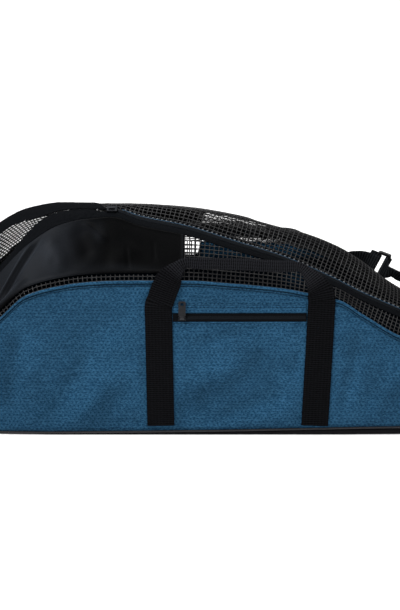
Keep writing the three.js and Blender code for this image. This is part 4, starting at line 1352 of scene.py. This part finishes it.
def shoulder():
    middle = BUCKLE["bar"] + BUCKLE["wrap"]
    frames = []
    for k in range(17):
        t = k / 16
        frames.append(deck_frame((-0.52 + (0.222 + 0.52) * t) * HALF, 0.78 - 0.06 * min(1, 3 * t)))
    frames += [free_frame(row) for row in STRAP_FREE]
    places = [(-1, -HIGH), (BUCKLE["bar"], -HIGH), (middle - 0.8, -0.7 * HIGH), (middle, 0)]
    places += [(middle - 0.8, 0.7 * HIGH), (BUCKLE["bar"], HIGH), (-3, HIGH), (-10, HIGH, -3, 0.85)]
    frames += [buckle_frame(*place) for place in places]
    return strap_band("shoulder_band", frames, "shoulder_strap", STRAP, ribs)


def tail():
    start = BUCKLE_LONG - BUCKLE["bar"]
    middle = start - BUCKLE["wrap"]
    places = [(start + 8, HIGH, 2, 0.9), (start, HIGH), (middle + 0.8, 0.7 * HIGH), (middle, 0)]
    places += [(middle + 0.8, -0.7 * HIGH), (start, -HIGH), (BUCKLE_LONG + 1, -HIGH, 5, 0.8)]
    frames = [buckle_frame(*place) for place in places]
    frames += [free_frame(row) for row in TAIL_FREE]
    frames += [deck_frame((0.6 + 0.02 * k) * HALF, 0.7) for k in range(5)]
    return strap_band("tail_band", frames, "strap_tail", STRAP, lambda run, v: 0 * run + 0 * v)


shoulder()
tail()


# Pocket zipper on the near panel.
def panel_strip(name, x0, x1, z0, z1, lift, thick, material, relief, across=11, step=1.2, shade=None):
    xx, share = grid(np.arange(x0, x1 + 0.01, step), across)
    zz = z0 + (z1 - z0) * share
    up = lift + relief(xx, share)
    t = wall_share(xx, -1, zz)
    points, quads = raised(wall_point(xx, -1, t), wall_normal(xx, -1, t), up + thick, lift + 0 * up)
    tone = None
    if shade is not None:
        tone = shade(xx, zz).ravel()
        tone = np.concatenate([tone, 0 * tone + 0.8])
    return outward(mesh_object(name, points, quads, material=material, tone=tone))


def welt(name, low, high, stitches):
    """A folded cloth edge beside the pocket zipper, with rows of stitches at the given heights."""

    def shade(x, z):
        tone = 1.12 + 0 * x
        dots = 0.75 + 0.25 * np.sin(2 * np.pi * x / 4.6)
        for at in stitches:
            tone = tone - 0.72 * dots * hump(z, at, 0.6)
        return tone

    def relief(x, v):
        z = low + (high - low) * v
        sunk = sum(hump(z, at, 0.7) for at in stitches)
        return 0.9 * np.sin(np.pi * np.clip(v, 0, 1)) ** 0.5 - 0.4 * sunk + 0.15 * noise(x, z, 7, 23)

    made = panel_strip(
        name, POCKET_LEFT + 1, POCKET_RIGHT - 1, low, high, 0.2, 0.3, BLUE, relief, 33, 1.6, shade
    )
    return piece(made, "blue_cloth")


welt("pocket_welt", 178.0, 190.5, (185.2, 188.8))
welt("pocket_hem", 160.0, 165.4, (163.2,))

pocket_tape = panel_strip(
    "pocket_tape", POCKET_LEFT, POCKET_RIGHT, POCKET["low"] * HEIGHT, POCKET["high"] * HEIGHT,
    0.4, 0.7, TAPE, lambda x, v: 0.3 * np.sin(np.pi * v) + 0.1 * noise(x, v * 12, 2.5, 21),
)
piece(pocket_tape, "zip_tape", "pocket_zip_tape")


def coil_relief(x, v):
    teeth = np.sin(2 * np.pi * x / 2.0 + np.where(v > 0.5, np.pi, 0))
    return np.sin(np.pi * v) * 0.8 + 0.25 * teeth * np.sin(np.pi * v)


chain_x0 = POCKET["slider"] * HALF + 6.0
chain_half = POCKET["chain"] / 2
pocket_coil = panel_strip(
    "pocket_coil", chain_x0, POCKET_RIGHT - 1, POCKET_MID - chain_half, POCKET_MID + chain_half,
    1.5, 0.5, COIL, coil_relief, 9, 0.5,
)
piece(pocket_coil, "zip_coil", "pocket_zip_chain")

# The hard small parts keep their solids and get better materials.
for node, material in (
    ("main_zip_slider", DARK_STEEL),
    ("pocket_slider", DARK_STEEL),
    ("pocket_pull", STEEL),
    ("strap_buckle", PLASTIC),
):
    obj = bpy.data.objects[node]
    obj.data.materials.clear()
    obj.data.materials.append(material)


# Camera, floor and light. SCALE is in millimetres a pixel.
ELEVATION = math.radians(15)
SCALE = 1.39
DISTANCE = 2500.0
SENSOR = 36
PICTURE_WIDTH = 400
target = vec(0, -112.0, 130.5 * SCALE / math.cos(ELEVATION))
look = vec(0, math.cos(ELEVATION), -math.sin(ELEVATION))
camera_data = bpy.data.cameras.new("camera")
camera = bpy.data.objects.new("camera", camera_data)
bpy.context.scene.collection.objects.link(camera)
camera.location = Vector((target - look * DISTANCE) * MM)
camera.rotation_euler = Vector(look).to_track_quat("-Z", "Y").to_euler()
camera_data.sensor_fit = "HORIZONTAL"
camera_data.sensor_width = SENSOR
camera_data.lens = DISTANCE / SCALE * SENSOR / PICTURE_WIDTH
camera_data.clip_end = 50
bpy.context.scene.camera = camera


def studio():
    m = Nodes("studio_floor", rough=0.9, color=(0.9, 0.9, 0.9), specular=0.0)
    soft = m.noise(3)
    m.color(m.ramp(soft, [(0.3, (0.89, 0.89, 0.89)), (0.7, (0.92, 0.92, 0.92))]))
    size = 9000.0
    points = [(-size, -size, 0), (size, -size, 0), (size, size, 0), (-size, size, 0)]
    floor = mesh_object("studio_floor", points, [(0, 1, 2, 3)], material=m.material, flat=True)
    floor.location.z = -0.0005
    m.set("Emission Color", (1, 1, 1, 1))
    reach = m.node("ShaderNodeVectorMath", operation="LENGTH")
    m.link(m.coords.outputs["Object"], reach.inputs[0])
    far = m.math("MULTIPLY", m.math("SUBTRACT", reach.outputs["Value"], 1.3), 0.35, clamp=True)
    m.link(m.math("ADD", m.math("MULTIPLY", far, 0.6), 0.42), m.shader.inputs["Emission Strength"])
    world = bpy.data.worlds.new("studio")
    world.use_nodes = True
    world.node_tree.nodes["Background"].inputs["Color"].default_value = (1, 1, 1, 1)
    world.node_tree.nodes["Background"].inputs["Strength"].default_value = 0.33
    bpy.context.scene.world = world


def area(name, place, aim, size, power):
    data = bpy.data.lights.new(name, "AREA")
    data.shape = "RECTANGLE"
    data.size = size[0]
    data.size_y = size[1]
    data.energy = power
    light = bpy.data.objects.new(name, data)
    bpy.context.scene.collection.objects.link(light)
    light.location = place
    light.rotation_euler = (Vector(aim) - Vector(place)).to_track_quat("-Z", "Y").to_euler()


studio()
area("key", (-1.5, -1.3, 2.2), (-0.1, 0, 0.15), (1.1, 0.8), 60)
area("top", (0.2, 0.5, 2.6), (0, 0, 0.1), (2.2, 1.4), 45)
area("fill", (1.6, -2.4, 1.0), (0, 0, 0.1), (1.0, 1.0), 12)

bpy.context.scene.view_settings.view_transform = "Standard"
